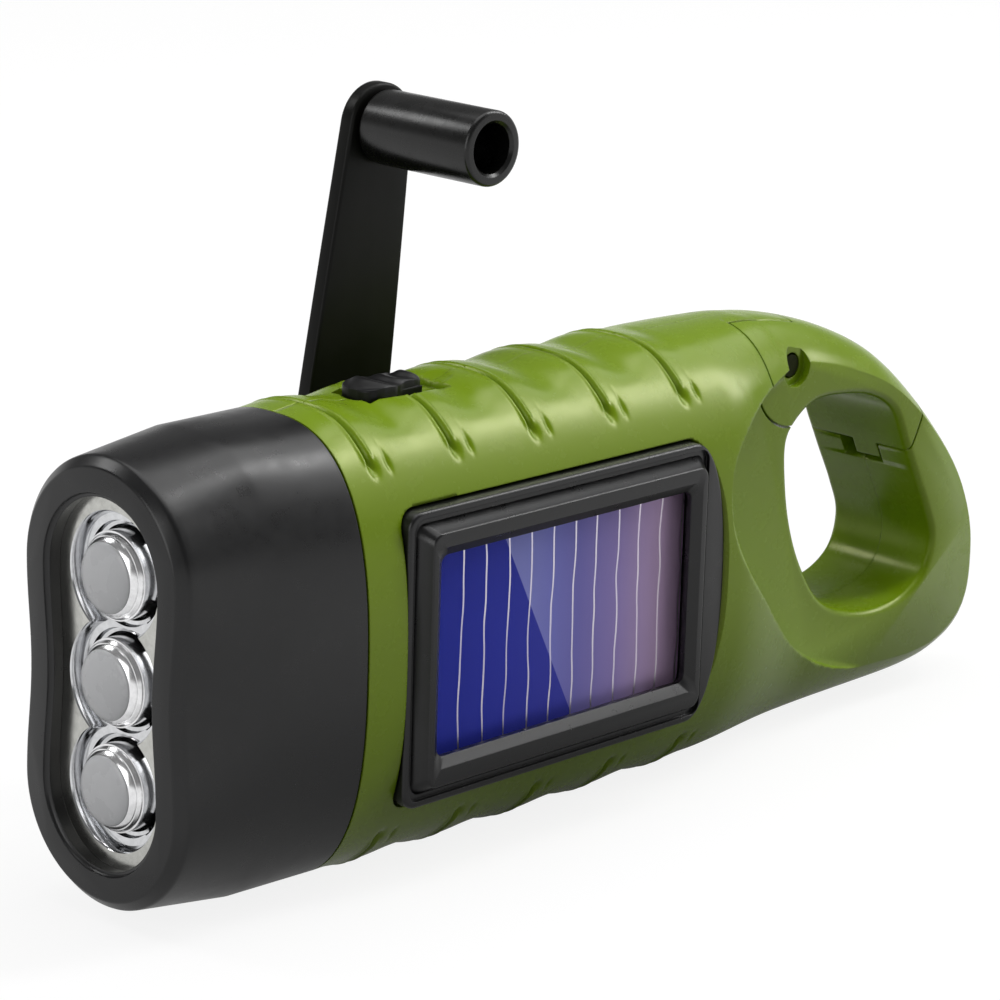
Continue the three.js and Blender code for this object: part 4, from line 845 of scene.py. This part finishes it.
# Reflector: each cup steps down to its lamp, with a bright lip, a ledge and a tube, as [depth, radius]
LAMP_BASE = LAMP_TIP + LAMP_LENGTH
REFLECTOR_BACK = LAMP_BASE - FIT
REFLECTOR_FLANGE = 1
CUP_BACK_RADIUS = LAMP_RADIUS + RUNNING
LAMP_HEIGHTS = [LAMP_PITCH * step for step in (-1, 0, 1)]
CUP_PROFILE = [(0, 7.05), (0.25, 6.85), (1.4, 6.55), (1.5, 5.75), (2.1, 5.6), (2.2, 5.2)]
NOTCH_DEGREES = [67, -40, 200]
NOTCH_REACH_DEGREES = 12
NOTCH_INNER = 5
NOTCH_OUTER = 5.9
NOTCH_DEPTH = 1.3
NOTCH_STEPS = 6


def cup(extra, start, end, z, *front):
    steps = [(start + depth, radius + extra) for depth, radius in CUP_PROFILE]
    return turned("x", [*front, *steps, (end, CUP_BACK_RADIUS + extra)], (0, z))


def notch(degrees, z):
    """A slot in a cup's ledge beside its lamp, at an angle from the near side upward."""
    start, end = 180 - degrees - NOTCH_REACH_DEGREES, 180 - degrees + NOTCH_REACH_DEGREES
    outline = np.concatenate([
        arc((0, z), NOTCH_OUTER, start, end, NOTCH_STEPS),
        arc((0, z), NOTCH_INNER, end, start, NOTCH_STEPS),
    ])
    depths = (REFLECTOR_X + NOTCH_DEPTH, REFLECTOR_BACK - FIT)
    return loft([np.column_stack([np.full(len(outline), x), outline]) for x in depths])


def make_reflector():
    flange = loft([head_ring(x, WALL + FIT) for x in (REFLECTOR_X, REFLECTOR_X + REFLECTOR_FLANGE)])
    outside = [cup(CUP_WALL, REFLECTOR_X + REFLECTOR_FLANGE / 2, REFLECTOR_BACK, z) for z in LAMP_HEIGHTS]
    join(flange, *outside)
    front = (REFLECTOR_X - OVERRUN, CUP_PROFILE[0][1])
    holes = [cup(0, REFLECTOR_X, REFLECTOR_BACK + FIT, z, front) for z in LAMP_HEIGHTS]
    notches = [notch(degrees, z) for degrees in NOTCH_DEGREES for z in LAMP_HEIGHTS]
    return cut(flange, *holes, *notches)


# Below its frosted cap a lamp has a bright side with two thin steps, as [distance from the tip, radius]
CAP_RADIUS = 3.85
CAP_RISE = 0.8
CAP_HOLE = 0.02
LAMP_SIDE_PROFILE = [
    (0.82, 3.9), (1.3, 4.3), (1.34, 4.22), (1.46, 4.3), (1.5, 4.42), (1.8, 4.66), (1.84, 4.58), (1.96, 4.66),
    (2, LAMP_RADIUS),
]


def make_lamp(z):
    angles = np.linspace(CAP_HOLE, math.pi / 2, 20)
    dome = [(LAMP_TIP + CAP_RISE * (1 - math.cos(a)), CAP_RADIUS * math.sin(a)) for a in angles]
    side = [(LAMP_TIP + depth, radius) for depth, radius in LAMP_SIDE_PROFILE]
    flange = LAMP_RADIUS + LAMP_FLANGE_WIDTH
    back = LAMP_BASE + LAMP_FLANGE_THICKNESS
    return turned("x", [*dome, *side, (LAMP_BASE, LAMP_RADIUS), (LAMP_BASE, flange), (back, flange)], (0, z))


# Gears
GEAR_EASE = 0.03


def make_gear(node):
    """A CAD gear with slightly thinner teeth, so that straight flanks clear each other at every turn."""
    gear = node_copy(node)
    moves = [point.normal * (GEAR_EASE * MM) for point in gear.data.vertices]
    for point, move in zip(gear.data.vertices, moves):
        point.co -= move
    return gear


# Crank. Its own frame has its turning axis at zero and its arm up, and it leans back from upright.
HUB_INNER = HALF_WIDTH + HUB_STAND_OFF
HUB_OUTER = HUB_INNER + HUB_THICKNESS
HUB_ROUND_INNER = 0.1
HUB_ROUND_OUTER = 0.6
ARM_INNER = HUB_OUTER + FIT
ARM_OUTER = ARM_INNER + ARM_THICKNESS
ARM_ROUND = 0.45
ARM_BELLY = 0.55
BARREL_ROUND = 0.3
FOLD_Y = ARM_INNER + BARREL_RADIUS
KNOB_PLACE = (0, CRANK_RADIUS)
KNOB_TOP = ARM_INNER - FIT
KNOB_END = KNOB_TOP - KNOB_LENGTH
KNOB_ROUND = 0.5
KNOB_LIP = 0.35
SOCKET_FLOOR = KNOB_END + KNOB_SOCKET_DEPTH
to_frame = Matrix.Translation(Vector(ORIGIN) * MM)
to_crank = (to_frame @ Matrix.Translation(Vector((HUB_X, 0, HUB_Z)) * MM)
            @ Matrix.Rotation(math.radians(CRANK_LEAN_DEGREES), 4, "Y") @ to_frame.inverted())


def on_crank(piece, place=to_crank):
    """Moves a mesh made in the crank's own frame to its place on the light."""
    piece.data.transform(place)
    return piece


def make_hub():
    profile = rounded_profile(HUB_INNER, HUB_OUTER, HUB_RADIUS, HUB_ROUND_INNER, HUB_ROUND_OUTER)
    disc = turned("y", profile, (0, 0))
    lug = block(-LUG_HALF_WIDTH, LUG_HALF_WIDTH, HUB_OUTER - HUB_ROUND_OUTER, FOLD_Y, -BARREL_RADIUS,
                BARREL_RADIUS)
    barrel = rod("x", BARREL_RADIUS, -LUG_HALF_WIDTH, LUG_HALF_WIDTH, (FOLD_Y, 0))
    spindle = on_crank(node_copy("crank_hub"), to_crank.inverted())
    common(spindle, rod("y", SPINDLE_RADIUS + FIT, 0, HUB_INNER + HUB_THICKNESS / 2, (0, 0)))
    join(disc, lug, barrel)
    cut(disc, drill("x", FOLD_PIN_RADIUS + RUNNING, -2 * HUB_RADIUS, 2 * HUB_RADIUS, (FOLD_Y, 0)))
    return on_crank(join(disc, spindle))


def arm_outline(inset):
    tip = ARM_TIP_WIDTH / 2 - inset
    right = catmull([
        (ARM_ROOT_WIDTH / 2 - inset, inset), (ARM_MIDDLE_WIDTH / 2 + ARM_BELLY - inset, ARM_MIDDLE / 2),
        (ARM_MIDDLE_WIDTH / 2 - inset, ARM_MIDDLE), (tip, CRANK_RADIUS),
    ], 30)
    left = right[::-1] * (-1, 1)
    return np.concatenate([right[:-1], arc(KNOB_PLACE, tip, 0, 180, ARC_STEPS), left[1:]])


def make_arm():
    edge = edge_steps(ARM_ROUND, 5)
    body = loft([flat_ring(arm_outline(fall), ARM_INNER + run) for run, fall in edge]
                + [flat_ring(arm_outline(fall), ARM_OUTER - run) for run, fall in edge[::-1]])
    root = ARM_ROOT_WIDTH / 2
    fold = (FOLD_Y, 0)
    barrel = turned("x", rounded_profile(-root, root, BARREL_RADIUS, BARREL_ROUND, BARREL_ROUND), fold)
    slot_half = LUG_HALF_WIDTH + FIT
    slot = block(-slot_half, slot_half, ARM_INNER - OVERRUN, FOLD_Y + BARREL_RADIUS + OVERRUN,
                 -BARREL_RADIUS - OVERRUN, ARM_SLOT_END)
    hole = drill("x", FOLD_PIN_RADIUS + RUNNING, -2 * root, 2 * root, fold)
    knob_hole = drill("y", KNOB_PIN_RADIUS + RUNNING, ARM_INNER - OVERRUN, ARM_OUTER + OVERRUN, KNOB_PLACE)
    return on_crank(cut(join(body, barrel), slot, hole, knob_hole))


def make_knob():
    body = turned("y", rounded_profile(KNOB_END, KNOB_TOP, KNOB_RADIUS, KNOB_ROUND, KNOB_ROUND), KNOB_PLACE)
    steps = np.sin(np.linspace(0, math.pi / 2, 6))
    mouth = [(KNOB_END + KNOB_LIP * step, KNOB_BORE + KNOB_LIP * (1 - step)) for step in steps]
    points = [(KNOB_END - OVERRUN, KNOB_BORE + KNOB_LIP), *mouth, (SOCKET_FLOOR, KNOB_BORE)]
    bore = turned("y", points, KNOB_PLACE)
    hole = drill("y", KNOB_PIN_RADIUS + RUNNING, KNOB_END, KNOB_TOP + OVERRUN, KNOB_PLACE)
    return on_crank(cut(body, bore, hole))


# Slider: a thumb pad with a waist and bowed ridges, on a skirt that lies in the dimple
RIDGE_COUNT = 3
RIDGE_HEIGHT = 0.42
RIDGE_BOW = 1.7
SLIDER_ROWS = 48
SLIDER_COLUMNS = 140
SKIRT_HEIGHT = 0.9
SKIRT_INSET = 0.7
PAD_CROWN = 0.3
PAD_LOW = 0.5
WAIST_START_SHARE = 0.4
WAIST_LENGTH_SHARE = 0.25
WAIST_SHARE = 0.28
PAD_END_SHARE = 0.3
PAD_END_POWER_SHARE = 5
PAD_PLACE_SHARES = [0, 0.08, 0.2, 0.4, 0.58, 0.75, 0.9, 1]
PAD_HEIGHT_SHARES = [0.4, 0.75, 0.96, 0.9, 0.82, 0.95, 0.75, 0.3]


def make_slider():
    along = np.linspace(0, 1, SLIDER_COLUMNS)[:, None]
    across = np.sin(np.linspace(-math.pi / 2, math.pi / 2, SLIDER_ROWS))[None, :]
    ends = (1 - np.abs(2 * along - 1) ** PAD_END_POWER_SHARE) ** PAD_END_SHARE
    half = SLIDER_HALF_WIDTH * (1 - WAIST_SHARE * smooth((along - WAIST_START_SHARE) / WAIST_LENGTH_SHARE))
    y = half * np.maximum(ends, PAD_END_SHARE) * across
    x = SLIDER_FRONT + SLIDER_LENGTH * along + 0 * across
    spline = catmull(list(zip(PAD_PLACE_SHARES, PAD_HEIGHT_SHARES)), SLIDER_COLUMNS)
    rise = np.interp(along, spline[:, 0], spline[:, 1])
    phase = 2 * math.pi * RIDGE_COUNT * (along - RIDGE_BOW / SLIDER_LENGTH * across ** 2)
    waves = (0.5 - 0.5 * np.cos(phase)) * np.sqrt(1 - across ** 2)
    low = SLIDER_TOP - RIDGE_HEIGHT - 2 * PAD_LOW
    height = low + 2 * PAD_LOW * rise + RIDGE_HEIGHT * waves - PAD_CROWN * across ** 2
    top = np.stack([x, y, height], axis=-1)
    base = np.stack([x, y, np.full_like(height, SLIDER_BOTTOM)], axis=-1)
    index = np.arange(top.shape[0] * top.shape[1]).reshape(top.shape[:2])
    shift = index.size
    quads = np.stack([index[:-1, :-1], index[1:, :-1], index[1:, 1:], index[:-1, 1:]], axis=-1)
    quads = quads.reshape(-1, 4)
    rim = np.array([*index[:, 0], *index[-1, 1:], *index[-2::-1, -1], *index[0, -2:0:-1]])
    after = np.roll(rim, -1)
    walls = np.stack([rim, rim + shift, after + shift, after], axis=-1)
    faces = [*quads.tolist(), *(quads[:, ::-1] + shift).tolist(), *walls.tolist()]
    cap = mesh_object(np.concatenate([top.reshape(-1, 3), base.reshape(-1, 3)]), faces)
    skirt = bar(SLIDER_FRONT + SKIRT_INSET, SLIDER_REAR - SKIRT_INSET, SLIDER_HALF_WIDTH - SKIRT_INSET,
                SLIDER_BOTTOM, SLIDER_BOTTOM + SKIRT_HEIGHT)
    stem = bar(STEM_FRONT, STEM_REAR, STEM_HALF_WIDTH, SLIDER_BOTTOM - STEM_DROP,
               SLIDER_BOTTOM + SKIRT_HEIGHT / 2)
    return join(cap, skirt, stem)


# Screws with a domed head and a cross
SCREW_DOME = 0.5
CROSS_HALF_WIDTH = 0.28
CROSS_REACH = 1.2
CROSS_DEPTH = 0.9


def make_screw(place):
    seat = SCREW_SEAT + FIT
    top = seat + SCREW_HEAD_THICKNESS
    dome = [(top - SCREW_DOME + SCREW_DOME * math.cos(a), SCREW_HEAD_RADIUS * math.sin(a))
            for a in np.linspace(math.pi / 2, 0.03, 10)]
    points = [(seat - SCREW_LENGTH, SCREW_RADIUS), (seat, SCREW_RADIUS), (seat, SCREW_HEAD_RADIUS), *dome]
    body = turned("y", points, place, SMALL_SIDES)
    x, z = place
    cross = ((CROSS_HALF_WIDTH, CROSS_REACH), (CROSS_REACH, CROSS_HALF_WIDTH))
    return cut(body, *[block(x - a, x + a, top - CROSS_DEPTH, top + OVERRUN, z - b, z + b)
                       for a, b in cross])


# Materials
class Tree:
    """A node tree with short ways to add nodes. Inputs are numbers, colours or other nodes' outputs."""

    def __init__(self, owner):
        owner.use_nodes = True
        self.owner = owner
        self.nodes = owner.node_tree.nodes
        self.links = owner.node_tree.links
        self.main = self.nodes.get("Principled BSDF") or self.nodes["Background"]

    def feed(self, node, inputs):
        for name, value in inputs.items():
            if isinstance(value, bpy.types.NodeSocket):
                self.links.new(value, node.inputs[name])
            else:
                node.inputs[name].default_value = value

    def finish(self, inputs):
        """Sets the inputs of the shader itself, and gives what the tree belongs to."""
        self.feed(self.main, inputs)
        return self.owner

    def add(self, kind, output, inputs=None, **settings):
        """Adds a node with its inputs and settings, and gives one of its outputs."""
        made = self.nodes.new(f"ShaderNode{kind}")
        for name, value in settings.items():
            setattr(made, name, value)
        self.feed(made, inputs or {})
        return made.outputs[output]

    def split(self, output):
        """A place's coordinates, as outputs named X, Y and Z."""
        return self.add("SeparateXYZ", "X", {"Vector": self.add("TexCoord", output)}).node.outputs

    def noise(self, scale, detail=4):
        return self.add("TexNoise", "Fac", {
            "Scale": scale, "Detail": detail, "Roughness": 0.6, "Vector": self.add("TexCoord", "Object")})

    def ranged(self, source, low, high, start=0.3, end=0.7):
        """Runs from low to high while the source runs from start to end."""
        return self.add("MapRange", "Result", {
            "Value": source, "From Min": start, "From Max": end, "To Min": low, "To Max": high})

    def maths(self, operation, *values):
        return self.add("Math", "Value", dict(enumerate(values)), operation=operation)

    def mixed(self, factor, first, second):
        return self.add("Mix", "Result", {"Factor": factor, "A": first, "B": second}, data_type="RGBA")

    def ramp(self, source, stops):
        ramp = self.add("ValToRGB", "Color", {"Fac": source})
        elements = ramp.node.color_ramp.elements
        elements[0].color = colour(*stops[0][1])
        elements[1].color = colour(*stops[-1][1])
        for at, tone in stops[1:-1]:
            elements.new(at).color = colour(*tone)
        return ramp


def material_tree(name):
    return Tree(bpy.data.materials.new(name))


def colour(red, green, blue):
    """A colour written as it looks, 0 to 255, as the shader's linear numbers."""
    shares = [((v / 255 + 0.055) / 1.055) ** 2.4 if v > 10 else v / 255 / 12.92 for v in (red, green, blue)]
    return (*shares, 1)


DRIFT_SCALE = 55
GLOSS_SCALE = 420
GRAIN_SCALE = 2600
GRAIN_STRENGTH = 0.35
GRAIN_HEIGHT = 0.004
ROUGHNESS_SPREAD = 0.04
SCRATCH_SCALE = 900
SCRATCH_DARK_SHARE = 0.82
SCRATCH_SPREAD_SHARE = 0.2


def plastic(name, first, second, roughness, specular=0.5, tint=(1, 1, 1), edge=0.0):
    """Moulded plastic: slight colour drift, a fine grain, and a roughness that varies."""
    tree = material_tree(name)
    grain = {"Strength": GRAIN_STRENGTH, "Distance": GRAIN_HEIGHT * MM, "Height": tree.noise(GRAIN_SCALE, 2)}
    if edge:
        grain["Normal"] = tree.add("Bevel", "Normal", {"Radius": edge * MM}, samples=4)
    return tree.finish({
        "Base Color": tree.mixed(tree.ranged(tree.noise(DRIFT_SCALE), 0, 1), first, second),
        "Roughness": tree.ranged(tree.noise(GLOSS_SCALE), roughness - ROUGHNESS_SPREAD,
                                 roughness + ROUGHNESS_SPREAD),
        "Normal": tree.add("Bump", "Normal", grain),
        "Specular IOR Level": specular,
        "Specular Tint": (*tint, 1),
    })


def metal(name, tone, roughness):
    """Metal with faint scratches and a roughness that varies."""
    tree = material_tree(name)
    scratches = tree.noise(SCRATCH_SCALE, 6)
    darker = (*[v * SCRATCH_DARK_SHARE for v in tone[:3]], 1)
    spread = roughness * SCRATCH_SPREAD_SHARE
    return tree.finish({
        "Base Color": tree.mixed(tree.ranged(scratches, 0, 1), tone, darker),
        "Roughness": tree.ranged(scratches, roughness - spread, roughness + spread),
        "Metallic": 1,
    })


GREENS = (colour(125, 155, 16), colour(121, 151, 14))
green = plastic("green_plastic", *GREENS, 0.26, 0.5, (1, 1, 0.5), edge=0.2)
black = plastic("black_plastic", colour(22, 22, 23), colour(18, 18, 19), 0.3, 0.45, edge=0.15)
crank_black = plastic("crank_plastic", colour(17, 17, 15), colour(13, 13, 12), 0.36, 0.14, edge=0.12)
knob_black = plastic("knob_plastic", colour(16, 16, 15), colour(12, 12, 11), 0.27, 0.45, edge=0.12)
slider_black = plastic("slider_plastic", colour(12, 12, 13), colour(9, 9, 10), 0.4, 0.25, edge=0.1)
magnet = plastic("magnet", colour(70, 71, 75), colour(60, 61, 65), 0.45)
nylon = plastic("nylon", colour(228, 224, 212), colour(220, 215, 202), 0.45)
board = plastic("board", colour(30, 92, 52), colour(26, 84, 47), 0.5)
lamp_side = metal("lamp_side", colour(250, 250, 251), 0.2)
# Satin metal for the reflector's flange face: rougher than the chrome, and a darker tone that is painted
# shade.
satin_and_shade = metal("satin_metal", colour(205, 205, 200), 0.22)
steel = metal("steel", colour(190, 190, 192), 0.28)
# The gate pin's steel is dark olive, a painted shade, so that its sunk hole looks shaded.
painted_shade_steel = metal("painted_shade_steel", colour(40, 44, 24), 0.6)
chrome = metal("reflector_chrome", colour(225, 226, 228), 0.1)
copper = metal("copper", colour(200, 128, 84), 0.35)


def lamp_material():
    """Frosted lamp lens."""
    tree = material_tree("lamp_lens")
    noise = tree.noise(300)
    return tree.finish({
        "Base Color": tree.mixed(tree.ranged(noise, 0, 1), colour(222, 223, 225), colour(230, 231, 233)),
        "Roughness": tree.ranged(noise, 0.22, 0.32),
    })


def clear_material():
    tree = material_tree("clear_plastic")
    return tree.finish({
        "Base Color": colour(12, 12, 14), "Alpha": 0.05, "Specular IOR Level": 0.15,
        "Roughness": tree.ranged(tree.noise(90), 0.03, 0.06),
    })


CELL_LINE_FIRST = 40.27
CELL_LINE_PITCH = 3.6
CELL_LINE_WIDTH = 0.23
CELL_LINE_DRIFT = 1.1
CELL_LINES_START = 37.5
# The slanted lighter zone is a painted reflection of a bright panel in the clear cover, set in the cells'
# colour: its edge, its slant and its colours.
PAINTED_REFLECTION_X = 52.2
PAINTED_REFLECTION_SLOPE_SHARE = -0.512
DARK_STOPS = [(0, (57, 69, 202)), (0.3, (66, 75, 206)), (1, (96, 96, 209))]
PAINTED_REFLECTION_STOPS = [
    (0, (172, 177, 255)), (0.39, (168, 173, 255)), (0.49, (156, 158, 248)), (0.6, (150, 144, 229)),
    (0.75, (179, 161, 231)), (0.83, (204, 179, 235)), (0.95, (242, 208, 253)), (1, (248, 212, 255)),
]


def cell_material():
    """Silicon cells: deep blue, with a painted reflection as a slanted lighter zone that turns to mauve, and
    thin pale lines.
    """
    tree = material_tree("solar_blue")
    place = tree.split("Object")
    left = (WINDOW_FRONT + ORIGIN[0]) * MM
    across = tree.ranged(place["X"], 0, 1, left, left + WINDOW_LENGTH * MM)
    slanted = tree.maths("MULTIPLY_ADD", place["Z"], -PAINTED_REFLECTION_SLOPE_SHARE, place["X"])
    edge = (PAINTED_REFLECTION_X + ORIGIN[0] - PAINTED_REFLECTION_SLOPE_SHARE * ORIGIN[2]) * MM
    # Painted reflection: the lighter zone lies past a slanted edge.
    is_painted_reflection = tree.maths("GREATER_THAN", slanted, edge)
    cells = tree.mixed(is_painted_reflection, tree.ramp(across, DARK_STOPS), tree.ramp(across, PAINTED_REFLECTION_STOPS))
    swayed = tree.maths("MULTIPLY_ADD", tree.noise(130, 1), CELL_LINE_DRIFT * MM, place["X"])
    first = (CELL_LINE_FIRST + ORIGIN[0] + CELL_LINE_DRIFT / 2 - CELL_LINE_PITCH / 2) * MM
    turn = tree.maths("WRAP", swayed, first, first + CELL_LINE_PITCH * MM)
    off = tree.maths("ABSOLUTE", tree.maths("SUBTRACT", turn, first + CELL_LINE_PITCH / 2 * MM))
    is_line = tree.maths("LESS_THAN", off, CELL_LINE_WIDTH / 2 * MM)
    is_inside = tree.maths("GREATER_THAN", place["X"], (CELL_LINES_START + ORIGIN[0]) * MM)
    strength = tree.ranged(tree.noise(110, 1), 0.7, 1)
    share = tree.maths("MULTIPLY", tree.maths("MULTIPLY", is_line, is_inside), strength)
    return tree.finish({
        "Base Color": tree.mixed(share, cells, colour(252, 246, 255)),
        "Roughness": tree.ranged(tree.noise(500), 0.4, 0.44),
        "Metallic": tree.ranged(share, 0.25, 1),
        "Specular IOR Level": 0.1,
    })


# Fine pieces that stand for CAD nodes
def dress(piece, name, material, body, node):
    """Names and shades a piece, and has it ride on a body in place of a CAD node."""
    piece.name = name
    piece.data.name = name
    piece.data.shade_smooth()
    piece.data.set_sharp_from_angle(angle=math.radians(SHARP_DEGREES))
    piece.data.materials.clear()
    piece.data.materials.append(material)
    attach(piece, body)
    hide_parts(node)
    return piece


def second_material(piece, material, start, end):
    """Gives faces a second material where their distance from the lamp face lies in a range."""
    piece.data.materials.append(material)
    for face in piece.data.polygons:
        face.material_index = int(start < face.center.x / MM - ORIGIN[0] < end)


FACE_GAP = 0.001
dress(make_gate(), "gate_body", green, "gate", "carabiner_gate")
dress(make_shell("housing_near", -1), "near_shell", green, "body", "housing_near")
dress(make_shell("housing_far", 1), "far_shell", green, "body", "housing_far")
bpy.data.objects.remove(skin)
dress(make_head(), "head_cover", black, "body", "head_bezel")
dress(make_bezel(), "panel_frame", black, "body", "solar_bezel")
mirror = dress(make_reflector(), "mirror", chrome, "body", "reflector")
# The flange face takes the satin metal, darker than the cups: partly a satin finish, partly painted shade.
second_material(mirror, satin_and_shade, -OVERRUN, REFLECTOR_X + FACE_GAP)
lamp_lens = lamp_material()
for index, z in enumerate(LAMP_HEIGHTS, 1):
    lamp = dress(make_lamp(z), f"lamp_{index}", lamp_lens, "body", f"led_{index}")
    second_material(lamp, lamp_side, LAMP_TIP + CAP_RISE, HEAD_LENGTH)
dress(make_hub(), "hub_body", crank_black, "crank", "crank_hub")
dress(make_arm(), "arm_body", crank_black, "arm", "crank_arm")
dress(make_knob(), "knob_body", knob_black, "knob", "crank_knob")
dress(make_slider(), "slider_cap", slider_black, "slider", "switch_slider")
for node, body in (("idler_gear_1", "first_idler"), ("idler_gear_2", "second_idler")):
    dress(make_gear(node), f"{node}_teeth", nylon, body, node)
for index, place in enumerate(SCREW_PLACES, 1):
    dress(make_screw(place), f"shell_screw_{index}", steel, "body", f"housing_screw_{index}")

# CAD nodes that stay, with their materials
KEPT = [
    (steel, [
        "fold_pin", "knob_pin", "hub_screw", "gate_spring", "gear_plate", "idler_shaft_1", "idler_shaft_2",
        "rotor_shaft", "plate_screw_1", "plate_screw_2", "plate_screw_3", "stator_can", "switch_body",
    ]),
    # Painted shade: the gate pin is dark olive so that its hole looks shaded.
    (painted_shade_steel, ["gate_pin"]),
    (copper, ["stator_coil"]),
    (magnet, ["rotor_magnet"]),
    (nylon, ["rotor_pinion", "drive_gear"]),
    (chrome, ["battery_1", "battery_2", "battery_3"]),
    (board, ["main_board", "led_board"]),
    (cell_material(), ["solar_cell"]),
    (clear_material(), ["solar_cover"]),
]
for material, nodes in KEPT:
    for node in nodes:
        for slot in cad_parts[node].material_slots:
            slot.material = material

# Floor, backdrop and light, in metres
FLOOR_HALF = 4
FLOOR_GLOW = 0.86
# Near the object mirrors see the floor's glow dimmed, a painted shadow: the near share within the near
# distance, rising to the far share at the far distance.
PAINTED_SHADOW_NEAR = 0.02
PAINTED_SHADOW_FAR = 0.1
PAINTED_SHADOW_NEAR_SHARE = 0.12
PAINTED_SHADOW_FAR_SHARE = 0.85
SKY_LEVEL = 0.13
HORIZON_END = 0.04
OVERHEAD_START = 0.22
OVERHEAD_LEVEL = 0.2
LIGHT_AIM = Vector((0, 0, 0.04))
# Each soft lamp has a direction from the object, a distance, a width, a height and a brightness
SOFTBOXES = {
    "strip": ((0.7, -0.31, 0.65), 0.9, 0.18, 0.7, 10),
    "wide": ((0.7, 0.05, 0.71), 0.95, 0.4, 0.6, 1.4),
    "low": ((0.7, -0.56, 0.45), 0.95, 0.34, 0.5, 1.1),
    "top": ((0.1, 0.1, 1), 1, 0.9, 0.9, 1.7),
    "back": ((-0.37, 0.66, 0.65), 1, 0.24, 0.24, 7),
    "left": ((-0.9, -0.1, 0.35), 0.9, 0.5, 0.5, 2.4),
}


def seen_level(tree, mirrored_level):
    """1 where the camera or clear plastic looks, the given level where a mirror looks, and 0 elsewhere."""
    path = tree.add("LightPath", "Is Camera Ray").node.outputs
    seen = tree.maths("MAXIMUM", path["Is Camera Ray"], path["Is Transmission Ray"])
    return tree.maths("MAXIMUM", seen, tree.maths("MULTIPLY", path["Is Glossy Ray"], mirrored_level))


def add_floor():
    """A pale floor whose glow, as mirrors see it, fades near the object: a painted shadow in its
    reflections.
    """
    corners = [(FLOOR_HALF * a, FLOOR_HALF * b, 0) for a, b in ((-1, -1), (1, -1), (1, 1), (-1, 1))]
    mesh = bpy.data.meshes.new("floor")
    mesh.from_pydata(corners, [], [range(4)])
    floor = bpy.data.objects.new("floor", mesh)
    bpy.context.scene.collection.objects.link(floor)
    tree = material_tree("floor")
    distance = tree.add("VectorMath", "Value", {0: tree.add("TexCoord", "Object")}, operation="LENGTH")
    # Painted shadow: the glow that mirrors see is dimmed near the object.
    mirrored = tree.ranged(distance, PAINTED_SHADOW_NEAR_SHARE, PAINTED_SHADOW_FAR_SHARE, PAINTED_SHADOW_NEAR, PAINTED_SHADOW_FAR)
    mesh.materials.append(tree.finish({
        "Base Color": colour(112, 112, 112), "Roughness": 0.9, "Specular IOR Level": 0.1,
        "Emission Color": (1, 1, 1, 1),
        "Emission Strength": tree.maths("MULTIPLY", seen_level(tree, mirrored), FLOOR_GLOW),
    }))


def add_world():
    """White to the camera, to mirrors white at the horizon and darker above, and dim to all else."""
    world = bpy.data.worlds.new("world")
    bpy.context.scene.world = world
    tree = Tree(world)
    mirrored = tree.ranged(tree.split("Generated")["Z"], 1, OVERHEAD_LEVEL, HORIZON_END, OVERHEAD_START)
    level = tree.maths("MAXIMUM", seen_level(tree, mirrored), SKY_LEVEL)
    tree.finish({"Color": (1, 1, 1, 1), "Strength": level})


def add_softbox(name, direction, distance, width, height, level):
    light = bpy.data.lights.new(name, "AREA")
    light.shape = "RECTANGLE"
    light.size = width
    light.size_y = height
    light.energy = level * math.pi * width * height
    lamp = bpy.data.objects.new(name, light)
    away = Vector(direction).normalized()
    lamp.location = LIGHT_AIM + away * distance
    lamp.rotation_euler = (-away).to_track_quat("-Z", "Y").to_euler()
    bpy.context.scene.collection.objects.link(lamp)


add_floor()
add_world()
for name, values in SOFTBOXES.items():
    add_softbox(name, *values)
